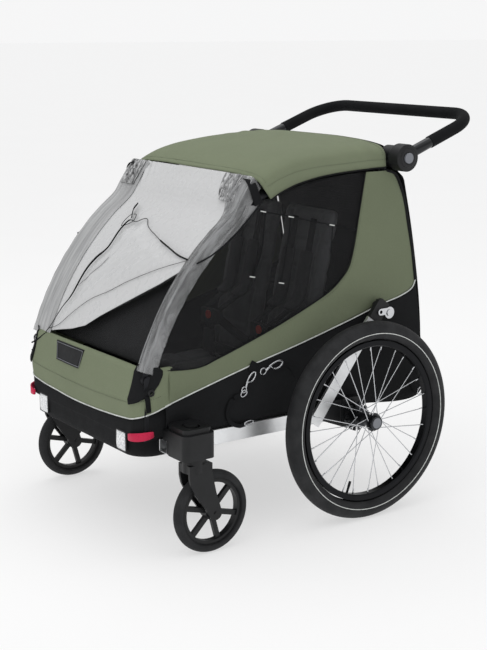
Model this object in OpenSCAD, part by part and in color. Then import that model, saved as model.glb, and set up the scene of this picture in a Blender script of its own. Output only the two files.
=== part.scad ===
// Two-seat child bicycle trailer: spoked rear wheels, swivel casters, a roof frame that folds down
// with its rear upright, and a tilting push bar. The ground is at Z = 0 and the front faces -Y.

/* [Rear wheels] */
// Outer diameter of the rear tyres
wheel_d = 500; // [490:1:506]
// Width of the rear tyres
tyre_w = 46; // [40:1:47]
// Distance between the middle planes of the rear wheels
track = 742; // [740:1:760]
// Place of the rear axle along the length
axle_y = 94; // [90:1:100]
// Spokes in each rear wheel
spokes = 28; // [20:4:32]
// Slots in the toothed brake ring
brake_slots = 16; // [12:4:16]

/* [Casters] */
// Outer diameter of the caster tyres
caster_d = 200; // [190:1:202]
// Width of the caster wheels
caster_w = 26; // [22:1:28]
// Distance between the two swivel axes
caster_track = 680; // [676:1:690]
// Place of the swivel axes along the length
swivel_y = -403; // [-405:1:-400]
// Distance from the swivel axis back to the caster axle
caster_trail = 47; // [44:1:50]

/* [Chassis] */
// Side of the square rail tube
rail_size = 36; // [34:1:36]
// Wall of the rail tube
rail_wall = 3; // [2:0.5:4]
// Distance from the middle plane to the outer face of a rail
rail_outer = 290; // [289:1:291]
// Open front end of the rails, which takes the hitch arm
mouth_y = -441; // [-441:1:-438]
// Bore for the hitch arm's locking pin
lock_bore_d = 10; // [8:0.5:12]

/* [Roof frame] */
// Front hinge axis along the length
hinge_y = -481; // [-482:1:-480]
// Height of the front hinge axis
hinge_z = 415; // [413:1:417]
// Distance from the middle plane to a side bar's axis
bar_x = 262; // [261:1:262]
// Diameter of the side bars
bar_d = 22; // [20:1:22]
// Radius of the bent front pillar
pillar_r = 690; // [680:1:700]
// Handle axis along the length
hub_y = 244; // [242:1:246]
// Height of the handle axis
hub_z = 885; // [882:1:888]

/* [Push bar] */
// Distance from the handle axis to the middle of the crossbar
handle_reach = 272; // [260:1:280]
// Angle of the push bar's arms above level
handle_tilt = 20.4; // [10:0.1:30]
// Radius of the push bar's corners
handle_corner = 88; // [70:1:95]
// Distance from the middle plane to an arm's axis
handle_x = 305; // [304:1:306]

/* [Hidden] */
$fn = 48;

fit = 0.05;            // radial clearance of a running shaft
gap = 0.3;             // clearance between faces that slide past each other
wheel_r = wheel_d / 2;
wheel_x = track / 2;
rim_r = 203;           // tyre seat of a 20 inch rim
rail_in = rail_outer - rail_size;
rail_z0 = 238;
rail_z1 = rail_z0 + rail_size;
rail_rear = 140;
axle_r = 6;
swivel_x = caster_track / 2;
caster_r = caster_d / 2;
caster_y = swivel_y + caster_trail;
skin_x = 279;          // inner face of the soft side skins
skin_t = 2.5;
tub_hw = 284;          // half width of the tub above the rails
tub_low_hw = 252;      // half width of the tub between the rails
tub_front = -509;
tub_z0 = 217;
tub_rim = 330;
pivot_r = 5;           // hinge pins of the roof frame and the push bar
latch_y = 185;         // rest place of the upright's foot pin
latch_z = 512;
lever_y = 208;         // axis of the latch lever
lever_z = 498;
leg_x = 238;           // axis of the upright's legs
clamp_r = 34;
housing_r = 28;

// Bent side bar: a pillar arc, a gentler elbow and a straight run to the handle axis
pillar_start = 162.8;
pillar_end = 121.7;
roof_slope = 6.9;
bend_slope = pillar_end - 90;
pillar_cy = hinge_y - pillar_r * cos(pillar_start);
pillar_cz = hinge_z - pillar_r * sin(pillar_start);
bend_y = pillar_cy + pillar_r * cos(pillar_end);
bend_z = pillar_cz + pillar_r * sin(pillar_end);
turn_s = sin(bend_slope) - sin(roof_slope);
turn_c = cos(roof_slope) - cos(bend_slope);
turn_det = turn_s * sin(roof_slope) - cos(roof_slope) * turn_c;
elbow_r = ((hub_y - bend_y) * sin(roof_slope) - (hub_z - bend_z) * cos(roof_slope)) / turn_det;
run_y = bend_y + elbow_r * turn_s;
run_z = bend_z + elbow_r * turn_c;

// Outlines in the side view, as [along the length, height]
trim_line = [[-442, 351], [-346, 377], [-204, 413], [-55, 447], [102, 487], [199, 514], [266, 529],
    [306, 545], [319, 567]];
rear_edge = [[306, 645], [294, 697], [278, 762], [263, 808], [239, 848]];
skirt_line = [[212, 862], [62, 856], [1, 850], [-59, 839], [-89, 830], [-144, 805]];
roof_line = [[-176, 867], [-130, 890], [-74, 905], [-10, 917], [60, 926], [150, 931], [209, 928]];
window_low = [[-449, 435], [-351, 430], [-290, 445], [-204, 472], [-116, 502], [-25, 538], [37, 566],
    [74, 594], [99, 624], [114, 675], [125, 736], [136, 797], [146, 852]];

function pillar_point(r, a) = [pillar_cy + r * cos(a), pillar_cz + r * sin(a)];
function lower(points, d) = [for (p = points) [p[0], p[1] - d]];

// Lays a shape drawn in the side view upright, with its thickness along +X
module side_view(x = 0) translate([x, 0, 0]) rotate([90, 0, 90]) children();
module side_plate(x0, x1) side_view(x0) linear_extrude(x1 - x0) children();
module x_rod(x0, x1, r, y, z) translate([x0, y, z]) rotate([0, 90, 0]) cylinder(r = r, h = x1 - x0);
module both_sides() { children(); mirror([1, 0, 0]) children(); }
module right_side() mirror([1, 0, 0]) children();

// Straight tube between two points of the side view
module side_tube(x, from, to, d) {
    run = to - from;
    side_view(x) translate([from[0], from[1], 0]) rotate([0, 0, atan2(run[1], run[0])])
        rotate([0, 90, 0]) cylinder(d = d, h = norm(run));
}

// Part of a ring in the side view, between two angles
module side_arc(x, cy, cz, a0, a1, r, d) side_view(x) translate([cy, cz, 0]) rotate([0, 0, a0])
    rotate_extrude(angle = a1 - a0, $fn = 96) translate([r, 0]) circle(d = d);

// ---- Chassis ----

module rail() {
    color("silver") difference() {
        translate([rail_in, mouth_y, rail_z0]) cube([rail_size, rail_rear - mouth_y, rail_size]);
        translate([rail_in + rail_wall, mouth_y - 1, rail_z0 + rail_wall])
            cube([rail_size - 2 * rail_wall, rail_rear - mouth_y + 2, rail_size - 2 * rail_wall]);
        translate([rail_in + rail_size / 2, mouth_y + 22, rail_z0 - 1])
            cylinder(d = lock_bore_d, h = rail_wall + 2);
    }
}

front_tube_y = -385;
module cross_tubes() {
    color("silver") {
        x_rod(-rail_in, rail_in, 14, front_tube_y, rail_z0 + rail_size / 2);
        x_rod(-rail_in, rail_in, 16, axle_y, wheel_r);
        pedal_pin();
    }
}

bracket_x = 318;       // outer face of the axle boss
brake_pin_r = 3;
brake_ring_r = 31;     // radius at which the pin meets the ring
module axle_bracket() {
    difference() {
        union() {
            translate([rail_outer, axle_y - 28, 226]) cube([16, 60, 68]);
            x_rod(rail_outer, bracket_x, 19, axle_y, wheel_r);
            x_rod(rail_outer, bracket_x - 4, 9, axle_y, wheel_r + brake_ring_r);
            side_plate(rail_outer, rail_outer + 8) polygon([[6, 262], [14, 242], [84, 214],
                [108, 214], [118, 234], [118, 290], [40, 290]]);
        }
        x_rod(rail_outer - 1, bracket_x + 1, axle_r + fit, axle_y, wheel_r);
        x_rod(rail_outer - 1, bracket_x + 1, brake_pin_r + fit, axle_y, wheel_r + brake_ring_r);
    }
}
module axle_brackets() color("#202224") both_sides() axle_bracket();

strut_x = 299;         // inner face of the flat struts
strut_from = [-14, 256];
strut_to = [176, 508];
strut_a = atan2(strut_to[1] - strut_from[1], strut_to[0] - strut_from[0]);
bracket_len = 58;
module struts() {
    color("silver") both_sides() {
        side_plate(strut_x, strut_x + 7) translate(strut_from) rotate(strut_a) translate([-16, -17])
            square([norm(strut_to - strut_from) + 16 - bracket_len / 2, 34]);
        x_rod(rail_outer, strut_x, 14, strut_from[0], strut_from[1]);
    }
}

cup_x0 = 286;
bracket_x0 = 297;
bracket_x1 = 308;
module latch_bracket() {
    release_a = strut_a + 6;
    half = bracket_len / 2;
    difference() {
        union() {
            side_plate(bracket_x0, bracket_x1) translate(strut_to) rotate(strut_a)
                polygon([[-half, -17], [7 - half, -24], [half - 4, -24], [half, -20], [half, 7], [half - 8, 15],
                    [-half, 15]]);
            x_rod(bracket_x0, bracket_x1, 13, lever_y, lever_z);
            x_rod(cup_x0, bracket_x0, 15, latch_y, latch_z);
        }
        side_plate(cup_x0 - 1, bracket_x0) translate([latch_y, latch_z]) rotate(release_a)
            translate([-20, -20]) square([20, 40]);
        x_rod(cup_x0 - 1, bracket_x0, 6.3, latch_y, latch_z);
        x_rod(bracket_x0 - 1, bracket_x1 + 1, 4 + fit, lever_y, lever_z);
    }
}
module latch_brackets() color("#222426") both_sides() latch_bracket();

// Post with two cheeks and the hinge pin of one side bar, on a foot along the rail's top
module front_hinge() {
    post_x0 = 247;
    post_x1 = 277;
    post_w = 20;
    translate([post_x0, hinge_y - post_w / 2, rail_z1]) cube([post_x1 - post_x0, post_w, 124]);
    translate([rail_in + 2, hinge_y, rail_z1]) cube([post_x1 - rail_in - 2, 100, 8]);
    for (x = [[post_x0, bar_x - bar_d / 2 - gap], [bar_x + bar_d / 2 + gap, post_x1]]) {
        translate([x[0], hinge_y - post_w / 2, rail_z1 + 123])
            cube([x[1] - x[0], post_w, hinge_z - rail_z1 - 123]);
        x_rod(x[0], x[1], 11, hinge_y, hinge_z);
    }
    x_rod(post_x0, post_x1, pivot_r, hinge_y, hinge_z);
}
module front_hinges() color("#2a2c2e") both_sides() front_hinge();

housing_x1 = 374;
housing_y0 = swivel_y - 43;
housing_y1 = swivel_y + 43;
housing_z0 = 236;
housing_z1 = 312;
stem_r = 12;
button_r = 16;
module rounded_block(x0, x1, y0, y1, r, z0, z1) translate([0, 0, z0]) linear_extrude(z1 - z0) {
    translate([x0, y0 + r]) square([x1 - x0, y1 - y0 - 2 * r]);
    translate([x0 + r, y0]) square([x1 - x0 - 2 * r, y1 - y0]);
    for (x = [x0 + r, x1 - r], y = [y0 + r, y1 - r]) translate([x, y]) circle(r = r, $fn = 48);
}
module caster_bracket() {
    button_x = swivel_x - 8;
    lid = 12;              // height of the raised lid round the button
    lid_z0 = housing_z1 - lid;
    dish = 5;
    difference() {
        union() {
            rounded_block(rail_outer, housing_x1, housing_y0, housing_y1, 16, housing_z0 + 4, lid_z0);
            translate([rail_outer, housing_y0 + 4, housing_z0 + 4])
                cube([20, housing_y1 - housing_y0 - 8, lid_z0 - housing_z0 - 4]);
            translate([swivel_x, swivel_y, housing_z0]) cylinder(r = 30, h = 8);
            translate([rail_outer - 26, housing_y0, rail_z1]) cube([70, 80, 22]);
            rounded_block(rail_outer - 5, housing_x1 - 7, housing_y0 + 6, housing_y1 - 6, 14, lid_z0 - 2, housing_z1);
        }
        translate([swivel_x, swivel_y, housing_z0 - 1]) cylinder(r = stem_r + fit, h = 47);
        translate([button_x, swivel_y, housing_z1 - 9]) cylinder(r = button_r + gap, h = 10);
        rounded_block(button_x - 24, button_x + 24, swivel_y - 19, swivel_y + 19, 18.5, housing_z1 - dish,
            housing_z1 + 1);
        translate([rail_in, housing_y0 - 1, rail_z0]) cube([rail_size, 100, rail_size]);
        front_post_clearance();
    }
}
module front_post_clearance() {
    translate([238, hinge_y - 16, 240]) cube([43, 32, 220]);
    translate([rail_in - 1, hinge_y - 2, rail_z1 - 1]) cube([281 - rail_in, 104, 11]);
}
module caster_brackets() color("#1c1d1f") both_sides() caster_bracket();

// Plan of the body: straight sides, a straight rear and two round front corners
module body_plan(hw, front, rear, r) {
    translate([-hw, front + r]) square([2 * hw, rear - front - r]);
    translate([r - hw, front]) square([2 * (hw - r), r + 1]);
    for (s = [-1, 1]) translate([s * (hw - r), front + r]) circle(r = r, $fn = 64);
}
module body_box(hw, front, rear, r, z0, z1) translate([0, 0, z0])
    linear_extrude(z1 - z0) body_plan(hw, front, rear, r);

tub_low_rear = 60;     // the well between the rails ends ahead of the axle tube
tub_rear = 343;        // the flat luggage floor ends at the rear wall
tub_corner = 60;
upper_corner = 30;
module tub() {
    wall = 3;
    color("#1d1e20") difference() {
        union() {
            body_box(tub_low_hw, tub_front + 4, tub_low_rear, tub_corner, tub_z0, rail_z1 + 5);
            body_box(tub_hw, tub_front, tub_rear, upper_corner, rail_z1 + 2, tub_rim);
        }
        body_box(tub_low_hw - wall, tub_front + 4 + wall, tub_low_rear - wall, tub_corner - wall,
            tub_z0 + wall, rail_z1 + 6);
        body_box(tub_hw - wall, tub_front + wall, tub_rear - wall, upper_corner - wall,
            rail_z1 + 5, tub_rim + 1);
        x_rod(-260, 260, 15, front_tube_y, rail_z0 + rail_size / 2);
        both_sides() {
            front_post_clearance();
            translate([rail_in - 2, -447, 240]) cube([60, 93, 57]);
            translate([281, swivel_y - 44, 290]) cube([10, 82, 24]);
        }
    }
}

// Green front panel with a turned-in top edge between the pillars
bumper_z1 = 440;
module bumper() {
    wall = 3;
    color("#6e7561") difference() {
        body_box(tub_hw, tub_front - 4, -430, upper_corner, tub_rim + gap, bumper_z1);
        difference() {
            body_box(tub_hw - wall, tub_front - 4 + wall, -429, upper_corner - wall, tub_rim - 1,
                bumper_z1 + 1);
            translate([-232, tub_front - 6, bumper_z1 - wall]) cube([464, 36, wall]);
        }
    }
}

module latch_hole() translate([latch_y, latch_z]) circle(r = 9);
module lower_sides() {
    color("#1f2022") both_sides() side_plate(skin_x, skin_x + skin_t) difference() {
        polygon(concat([[-428, 331]], [for (i = [1:8]) trim_line[i] - [0, 1]],
            [[300, 500], [200, 420], [157, 331]]));
        latch_hole();
    }
}
module window_outline(r) {
    polygon(concat([for (a = [125:6:155]) pillar_point(r, a)], window_low,
        [[136, 853], [62, 850], [1, 845], [-59, 834], [-89, 825], [-144, 800]]));
}
module side_panels() {
    color("#6e7561") both_sides() side_plate(skin_x, skin_x + skin_t) difference() {
        polygon(concat([[-428, 357]], [for (i = [1:8]) trim_line[i]], rear_edge,
            [[212, 852], [148, 856]], [for (i = [12:-1:1]) window_low[i]], [[-428, 432]]));
        latch_hole();
    }
}
module side_windows() {
    color("#2b2c2e") both_sides() side_plate(skin_x, skin_x + skin_t)
        intersection() {
            window_outline(pillar_r - 14);
            polygon(concat([[-428, 434]], [for (i = [1:12]) window_low[i] + [-0.6, 0.9]],
                [[136, 853], [62, 850], [1, 845], [-59, 834], [-89, 825], [-144, 800], [-200, 790],
                 [-330, 700], [-428, 560]]));
        }
}

seat_y0 = -190;
seat_y1 = 6;
module seat_cushion() color("#2b2d30") translate([-232, seat_y0, 296]) cube([464, seat_y1 - seat_y0, 40]);

// Places a flat piece along the leaning backrest: X across, Z up along it, Y into it
back_lean = 12;
module on_backrest() translate([0, 14, 340]) rotate([-back_lean, 0, 0]) children();
module backrests() color("#2f3134") both_sides() on_backrest() translate([8, 0, 2]) cube([216, 24, 430]);

seat_x = 115;
buckle_y = -46;
buckle_z = 452;
module harness() {
    strap_w = 24;
    for (dx = [-30, 30]) side_plate(seat_x + dx - strap_w / 2, seat_x + dx + strap_w / 2)
        polygon([[-38, 471], [48.6, 527.5], [90.2, 722.5], [93.1, 721.9], [51.6, 524.5], [-36, 467]]);
    side_plate(seat_x - 14, seat_x + 14) polygon([[-48, 338], [-45, 338], [-44.5, 430], [-47.5, 430]]);
}
module harnesses() color("#28292b") both_sides() harness();

module buckle() difference() {
    translate([seat_x - 38, buckle_y - 9, buckle_z - 22]) cube([76, 18, 36]);
    translate([seat_x, buckle_y - 10, buckle_z]) rotate([-90, 0, 0]) cylinder(r = 11.3, h = 7);
}
module buckles() color("#1b1c1e") both_sides() buckle();
module buckle_button() color("#c8402f") translate([seat_x, buckle_y - 12, buckle_z]) rotate([-90, 0, 0])
    cylinder(r = 11, h = 6);

panel_hw = 278;
rear_line = [[262, 836], [296, 727], [331, 545], [343, 404], [343, 331]];
module rear_panel() {
    t = 3;
    color("#1e1f21") {
        side_plate(-panel_hw, panel_hw) polygon(concat(rear_line, [for (i = [4:-1:0]) rear_line[i] - [t, 0]]));
        both_sides() side_plate(panel_hw - t, panel_hw)
            polygon([[168, 331], [340, 331], [340, 404], [328, 540], [226, 505], [168, 420]]);
    }
}

module reflectors() {
    color("white") both_sides() {
        translate([175, tub_front - 5.4, 240]) cube([42, 5.3, 40]);
        translate([205, tub_rear + 0.1, 282]) cube([46, 5, 40]);
    }
}
// Loops sewn round the two front corners
module red_tab() color("#cf3350") both_sides() intersection() {
    difference() {
        body_box(tub_hw + 2.5, tub_front - 2.5, 0, upper_corner + 2.5, 282, 302);
        body_box(tub_hw + 0.2, tub_front - 0.2, 1, upper_corner + 0.2, 281, 303);
    }
    translate([236, tub_front - 10, 280]) cube([60, 38, 24]);
}

strap_x = 285;
module tension_straps() {
    color("#161718") both_sides() side_plate(strap_x, strap_x + 2) {
        polygon([[-222, 408], [-208, 408], [-236, 350], [-240, 320], [-232, 290], [-222, 276], [-236, 276],
            [-248, 292], [-254, 320], [-250, 352]]);
        polygon([[-200, 392], [-128, 414], [-124, 404], [-196, 382]]);
    }
    color("#161718") both_sides() side_plate(tub_hw + 0.2, tub_hw + 2.2)
        polygon([[298, 322], [316, 322], [332, 266], [318, 262]]);
}
module ring(y, z, r) side_view(strap_x + 4) translate([y, z, 0]) rotate_extrude() translate([r, 0]) circle(d = 3);
module strap_hardware() {
    color("#b9bcc0") both_sides() {
        ring(-217, 374, 9);
        ring(-206, 284, 8);
        ring(-162, 396, 8);
        ring(325, 254, 9);
        x_rod(strap_x + 2, strap_x + 6, 5, -229, 281);
    }
}

// ---- Roof frame ----

module roof_bar() {
    color("#2c2e30") difference() {
        union() {
            side_arc(bar_x, pillar_cy, pillar_cz, pillar_end, pillar_start, pillar_r, bar_d);
            side_arc(bar_x, bend_y + elbow_r * sin(bend_slope), bend_z - elbow_r * cos(bend_slope),
                90 + roof_slope, 90 + bend_slope, elbow_r, bar_d);
            side_tube(bar_x, [run_y, run_z], [hub_y, hub_z], bar_d);
            x_rod(bar_x - bar_d / 2, bar_x + bar_d / 2, 12.5, hinge_y, hinge_z);
        }
        x_rod(bar_x - 20, bar_x + 20, pivot_r + fit, hinge_y, hinge_z);
        x_rod(bar_x - 20, bar_x + 20, housing_r, hub_y, hub_z);
    }
}

module roof_cross_bars() {
    color("#2c2e30") {
        x_rod(-bar_x + 9, bar_x - 9, 9, -120, pillar_cz + 625);
        x_rod(-bar_x + 11, bar_x - 11, 9, hub_y + 28, hub_z - 5);
    }
}

module hub_housing() {
    x_rod(251, 289.6, housing_r, hub_y, hub_z);
    x_rod(224, 316, pivot_r, hub_y, hub_z);
}
module hub_housings() color("#1b1c1e") both_sides() hub_housing();

// Roof shell: full height over the middle, falling to a skirt at each side
module roof_form(inset) {
    reach = inset > 0 ? 40 : 0;
    hull() {
        side_plate(-225 + inset, 225 - inset)
            polygon(concat([[-176 - reach, 780]], lower(roof_line, inset),
                [[209 + reach, 928 - inset], [209 + reach, 780]]));
        side_plate(-283 + inset, 283 - inset)
            polygon(concat([[-176 - reach, 780]], lower(roof_line, 40 + inset),
                [[209 + reach, 888 - inset], [209 + reach, 780]]));
    }
}
module canopy() {
    color("#83905f") intersection() {
        difference() {
            roof_form(0);
            roof_form(3);
        }
        side_plate(-290, 290) polygon(concat(skirt_line, [[-186, 866], [-186, 940], [209, 940], [209, 862]]));
    }
}

cover_start = 160.5;
module front_sheet(r, hw, a1) side_view(-hw) translate([pillar_cy, pillar_cz, 0]) linear_extrude(2 * hw)
    polygon(concat([for (i = [0:12]) r * [cos(cover_start + (a1 - cover_start) * i / 12),
        sin(cover_start + (a1 - cover_start) * i / 12)]],
        [for (i = [12:-1:0]) (r + 2.5) * [cos(cover_start + (a1 - cover_start) * i / 12),
        sin(cover_start + (a1 - cover_start) * i / 12)]]));
module front_cover() {
    color("#d5d8d8", 0.45) {
        front_sheet(pillar_r + 13, 272, 122.5);
        side_plate(-240, 240) polygon([pillar_point(pillar_r + 13, 122.6), pillar_point(pillar_r + 15.4, 122.6),
            [-184, 861], [-181.5, 861]]);
    }
}
module front_mesh() color("#303133") front_sheet(pillar_r - 16, 249, 123);

// ---- Rear upright ----

foot_r = 6;
module upright_hoop() {
    color("#2c2e30") difference() {
        union() {
            for (s = [-1, 1]) {
                side_tube(s * leg_x, [hub_y, hub_z], [latch_y, latch_z], 18);
                x_rod(s * leg_x - 10.5, s * leg_x + 10.5, 13, hub_y, hub_z);
            }
            for (s = [-1, 1]) x_rod(s * leg_x - 11, s * leg_x + 11, 10.5, latch_y, latch_z);
            x_rod(-leg_x, leg_x, 7.5, latch_y, latch_z);
            x_rod(-295, 295, foot_r, latch_y, latch_z);
        }
        for (s = [-1, 1]) x_rod(s * leg_x - 20, s * leg_x + 20, pivot_r + fit, hub_y, hub_z);
    }
}

lever_x0 = 286.5;
module latch_lever() {
    color("#a9adb1") {
        x_rod(lever_x0, 312, 4, lever_y, lever_z);
        x_rod(lever_x0, lever_x0 + 8, 8, lever_y, lever_z);
        side_plate(lever_x0, lever_x0 + 8) polygon([[208, 505.5], [208, 490], [176, 493], [174, 501]]);
        difference() {
            side_plate(bracket_x1 + gap, 312.5) union() {
                translate([lever_y, lever_z]) circle(r = 15);
                translate([lever_y - 28, lever_z - 4]) square([28, 17]);
                translate([lever_y - 28, lever_z + 4.5]) circle(r = 8.5);
            }
            x_rod(bracket_x1, 314, 4.5, lever_y - 28, lever_z + 4.5);
        }
        x_rod(312, 315, 9, lever_y, lever_z);
    }
}

// ---- Push bar ----

// Half of the loop as a tube of a given section between two distances along the arms
module handle_frame() translate([0, hub_y, hub_z]) rotate([handle_tilt, 0, 0]) children();
module handle_loop(d, start) {
    arm = handle_reach - handle_corner;
    for (s = [-1, 1]) {
        translate([s * handle_x, start, 0]) rotate([-90, 0, 0]) cylinder(d = d, h = arm - start);
        translate([s * (handle_x - handle_corner), arm, 0]) rotate([0, 0, s > 0 ? 0 : 90])
            rotate_extrude(angle = 90, $fn = 96) translate([handle_corner, 0]) circle(d = d);
    }
    translate([-(handle_x - handle_corner), handle_reach, 0]) rotate([0, 90, 0])
        cylinder(d = d, h = 2 * (handle_x - handle_corner));
}
grip_start = 94;       // the foam begins here, past the smooth arm
module handlebar_tube() {
    color("#1d1e20") difference() {
        handle_frame() {
            handle_loop(24, 8);
            for (s = [-1, 1]) translate([s * handle_x, 12, 0]) rotate([-90, 0, 0])
                cylinder(d = 28, h = grip_start - 13);
        }
        both_sides() x_rod(288, 328, clamp_r, hub_y, hub_z);
    }
}
module handlebar_grip() {
    color("#2a2b2d") handle_frame() difference() {
        handle_loop(31, grip_start);
        handle_loop(24, grip_start - 6);
    }
}
module handle_clamp() {
    difference() {
        union() {
            x_rod(290, 326, clamp_r, hub_y, hub_z);
            x_rod(326, 329, 24, hub_y, hub_z);
        }
        x_rod(280, 322, pivot_r + fit, hub_y, hub_z);
        x_rod(317.5, 330, 13.3, hub_y, hub_z);
    }
}
module handle_clamps() color("#1b1c1e") both_sides() handle_clamp();
module hub_button() color("#8f9398") x_rod(322, 332, 13, hub_y, hub_z);

// ---- Rear wheels ----

module on_axle() translate([wheel_x, axle_y, wheel_r]) rotate([0, 90, 0]) children();
module ring_of(points) rotate_extrude($fn = 128) polygon(points);
module tyre() {
    tube_r = tyre_w / 2;
    color("#232425") on_axle() rotate_extrude($fn = 128) difference() {
        translate([wheel_r - tube_r, 0]) circle(r = tube_r, $fn = 40);
        translate([wheel_r - tube_r, 0]) circle(r = tube_r - 4, $fn = 40);
        square([2 * rim_r, 60], center = true);
        translate([rim_r - 1, -8]) square([20, 16]);
    }
}
module rim() {
    color("#17181a") on_axle() ring_of([[188, -9], [191, -12], [rim_r, -12], [rim_r, 12], [191, 12], [188, 9]]);
}
flange_x = 21;
flange_r = 20;
module hub() {
    color("#3a3c3f") on_axle() {
        difference() {
            union() {
                translate([0, 0, -32]) cylinder(r = 13, h = 56);
                for (z = [-flange_x, flange_x]) translate([0, 0, z - 1.5]) cylinder(r = flange_r + 3, h = 3);
                translate([0, 0, flange_x]) cylinder(r = 17, h = 13);
            }
            translate([0, 0, 24]) cylinder(r = 13.3, h = 20);
        }
        translate([0, 0, 291 - wheel_x]) cylinder(r = axle_r, h = wheel_x - 291 - 30);
        translate([0, 0, -48]) difference() {
            cylinder(r = 37, h = 7);
            for (i = [0:brake_slots - 1]) rotate(180 + i * 360 / brake_slots)
                translate([26, -4, -1]) cube([14, 8, 9]);
        }
        translate([0, 0, -42]) cylinder(r = 15, h = 12);
    }
}
module spoke_set() {
    color("#c9ccd0") on_axle() for (i = [0:spokes - 1]) {
        side = i % 2 == 0 ? 1 : -1;
        k = floor(i / 2);
        lean = k % 2 == 0 ? 46 : -46;
        a = 360 * i / spokes;
        z0 = side * (flange_x + (k % 2 == 0 ? 2.6 : -2.6));
        from = [flange_r * cos(a + lean), flange_r * sin(a + lean), z0];
        to = [188 * cos(a), 188 * sin(a), side * 4];
        rod(from, to, 1.1);
    }
}
module rod(from, to, r) {
    v = to - from;
    translate(from) rotate([0, acos(v[2] / norm(v)), atan2(v[1], v[0])]) cylinder(r = r, h = norm(v), $fn = 16);
}
module cap_button() color("#9a9da1") on_axle() {
    translate([0, 0, 29]) cylinder(r = 13, h = 6);
}

// ---- Casters ----

module at_caster() translate([swivel_x, caster_y, caster_r]) rotate([0, 90, 0]) children();
axle_bolt_r = 4;
module fork() {
    leg = caster_w / 2 + 4;
    crown_z = 2 * caster_r + 5;
    crown_h = 20;
    color("#1c1d1f") {
        translate([swivel_x, swivel_y, crown_z]) cylinder(r = stem_r, h = 281 - crown_z);
        translate([swivel_x, swivel_y, crown_z]) cylinder(r = 26, h = housing_z0 - gap - crown_z);
        translate([swivel_x - leg - 7, swivel_y - 24, crown_z]) cube([2 * leg + 14, 62, crown_h]);
        for (s = [-1, 1]) translate([s * (leg + 3.5) - 3.5 + swivel_x, 0, 0]) side_plate(0, 7) {
            polygon([[swivel_y - 24, crown_z + crown_h], [swivel_y - 24, crown_z - 9], [swivel_y - 20, crown_z - 29],
                [swivel_y - 10, crown_z - 50], [swivel_y + 4, crown_z - 70], [caster_y - 28, caster_r + 15],
                [caster_y - 13, caster_r - 11], [caster_y + 16, caster_r + 5], [caster_y + 9, caster_r + 28],
                [caster_y + 2, caster_r + 50], [caster_y - 3, crown_z - 33], [swivel_y + 41, crown_z - 15],
                [swivel_y + 38, crown_z], [swivel_y + 38, crown_z + crown_h]]);
            translate([caster_y, caster_r]) circle(r = 17);
        }
        at_caster() translate([0, 0, -leg - 9]) cylinder(r = axle_bolt_r, h = 2 * leg + 18);
    }
}
module caster_wheel() {
    color("#1e1f21") at_caster() difference() {
        union() {
            difference() {
                cylinder(r = 80, h = caster_w - 8, center = true);
                cylinder(r = 71, h = caster_w, center = true);
            }
            cylinder(r = 20, h = caster_w, center = true);
            for (i = [0:5]) rotate(i * 60 + 15) translate([10, -6, -5]) cube([64, 12, 10]);
        }
        cylinder(r = axle_bolt_r + fit, h = caster_w + 2, center = true);
    }
}
module caster_tyre() {
    color("#26272a") at_caster() rotate_extrude($fn = 96) difference() {
        caster_tyre_section();
        translate([0, -50]) square([80, 100]);
    }
}
module caster_tyre_section() {
    translate([caster_r - caster_w / 2, 0]) circle(r = caster_w / 2, $fn = 40);
    translate([79, -caster_w / 2]) square([caster_r - caster_w / 2 - 79, caster_w]);
}
module caster_button() color("#303235") translate([swivel_x - 8, swivel_y, housing_z1 - 5])
    cylinder(r = button_r, h = 7);

// ---- Parking brake ----

pedal_y = 124;
pedal_z = 226;
module brake_pedal() {
    color("#232528") {
        difference() {
            union() {
                x_rod(-56, 56, 9, pedal_y, pedal_z);
                translate([-50, pedal_y - 4, pedal_z - 6]) cube([100, 64, 8]);
                translate([-50, pedal_y + 52, pedal_z - 6]) cube([100, 12, 14]);
            }
            x_rod(-60, 60, 4 + fit, pedal_y, pedal_z);
        }
    }
}
module pedal_pin() {
    x_rod(-64, 64, 4, pedal_y, pedal_z);
    for (x = [-64, 57]) side_plate(x, x + 7) polygon([[axle_y - 8, wheel_r - 10], [axle_y + 8, wheel_r],
        [pedal_y + 8, pedal_z + 6], [pedal_y + 6, pedal_z - 7], [pedal_y - 10, pedal_z - 5]]);
}
module brake_pin() color("#b5b8bc") x_rod(rail_outer + 2, bracket_x + 1, brake_pin_r, axle_y, wheel_r + brake_ring_r);

rail();  // rail_left
right_side() rail();  // rail_right
cross_tubes();
axle_brackets();
struts();
latch_brackets();
front_hinges();
caster_brackets();
tub();
bumper();
lower_sides();
side_panels();
side_windows();
seat_cushion();
backrests();
harnesses();
buckles();
rear_panel();
reflectors();
red_tab();
tension_straps();
strap_hardware();
roof_bar();  // roof_bar_left
right_side() roof_bar();  // roof_bar_right
roof_cross_bars();
hub_housings();
canopy();
front_cover();
front_mesh();
upright_hoop();
handlebar_tube();
handlebar_grip();
handle_clamps();
hub_button();  // hub_button_left
right_side() hub_button();  // hub_button_right
latch_lever();  // latch_lever_left
right_side() latch_lever();  // latch_lever_right
tyre();  // tyre_left
rim();  // rim_left
spoke_set();  // spokes_left
hub();  // hub_left
cap_button();  // cap_button_left
right_side() tyre();  // tyre_right
right_side() rim();  // rim_right
right_side() spoke_set();  // spokes_right
right_side() hub();  // hub_right
right_side() cap_button();  // cap_button_right
fork();  // fork_left
caster_wheel();  // caster_wheel_left
caster_tyre();  // caster_tyre_left
right_side() fork();  // fork_right
right_side() caster_wheel();  // caster_wheel_right
right_side() caster_tyre();  // caster_tyre_right
caster_button();  // caster_button_left
right_side() caster_button();  // caster_button_right
brake_pedal();
brake_pin();  // brake_pin_left
right_side() brake_pin();  // brake_pin_right
buckle_button();  // buckle_button_left
right_side() buckle_button();  // buckle_button_right
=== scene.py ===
import math

import bmesh
import bpy
import numpy as np
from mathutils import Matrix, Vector, noise


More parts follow.
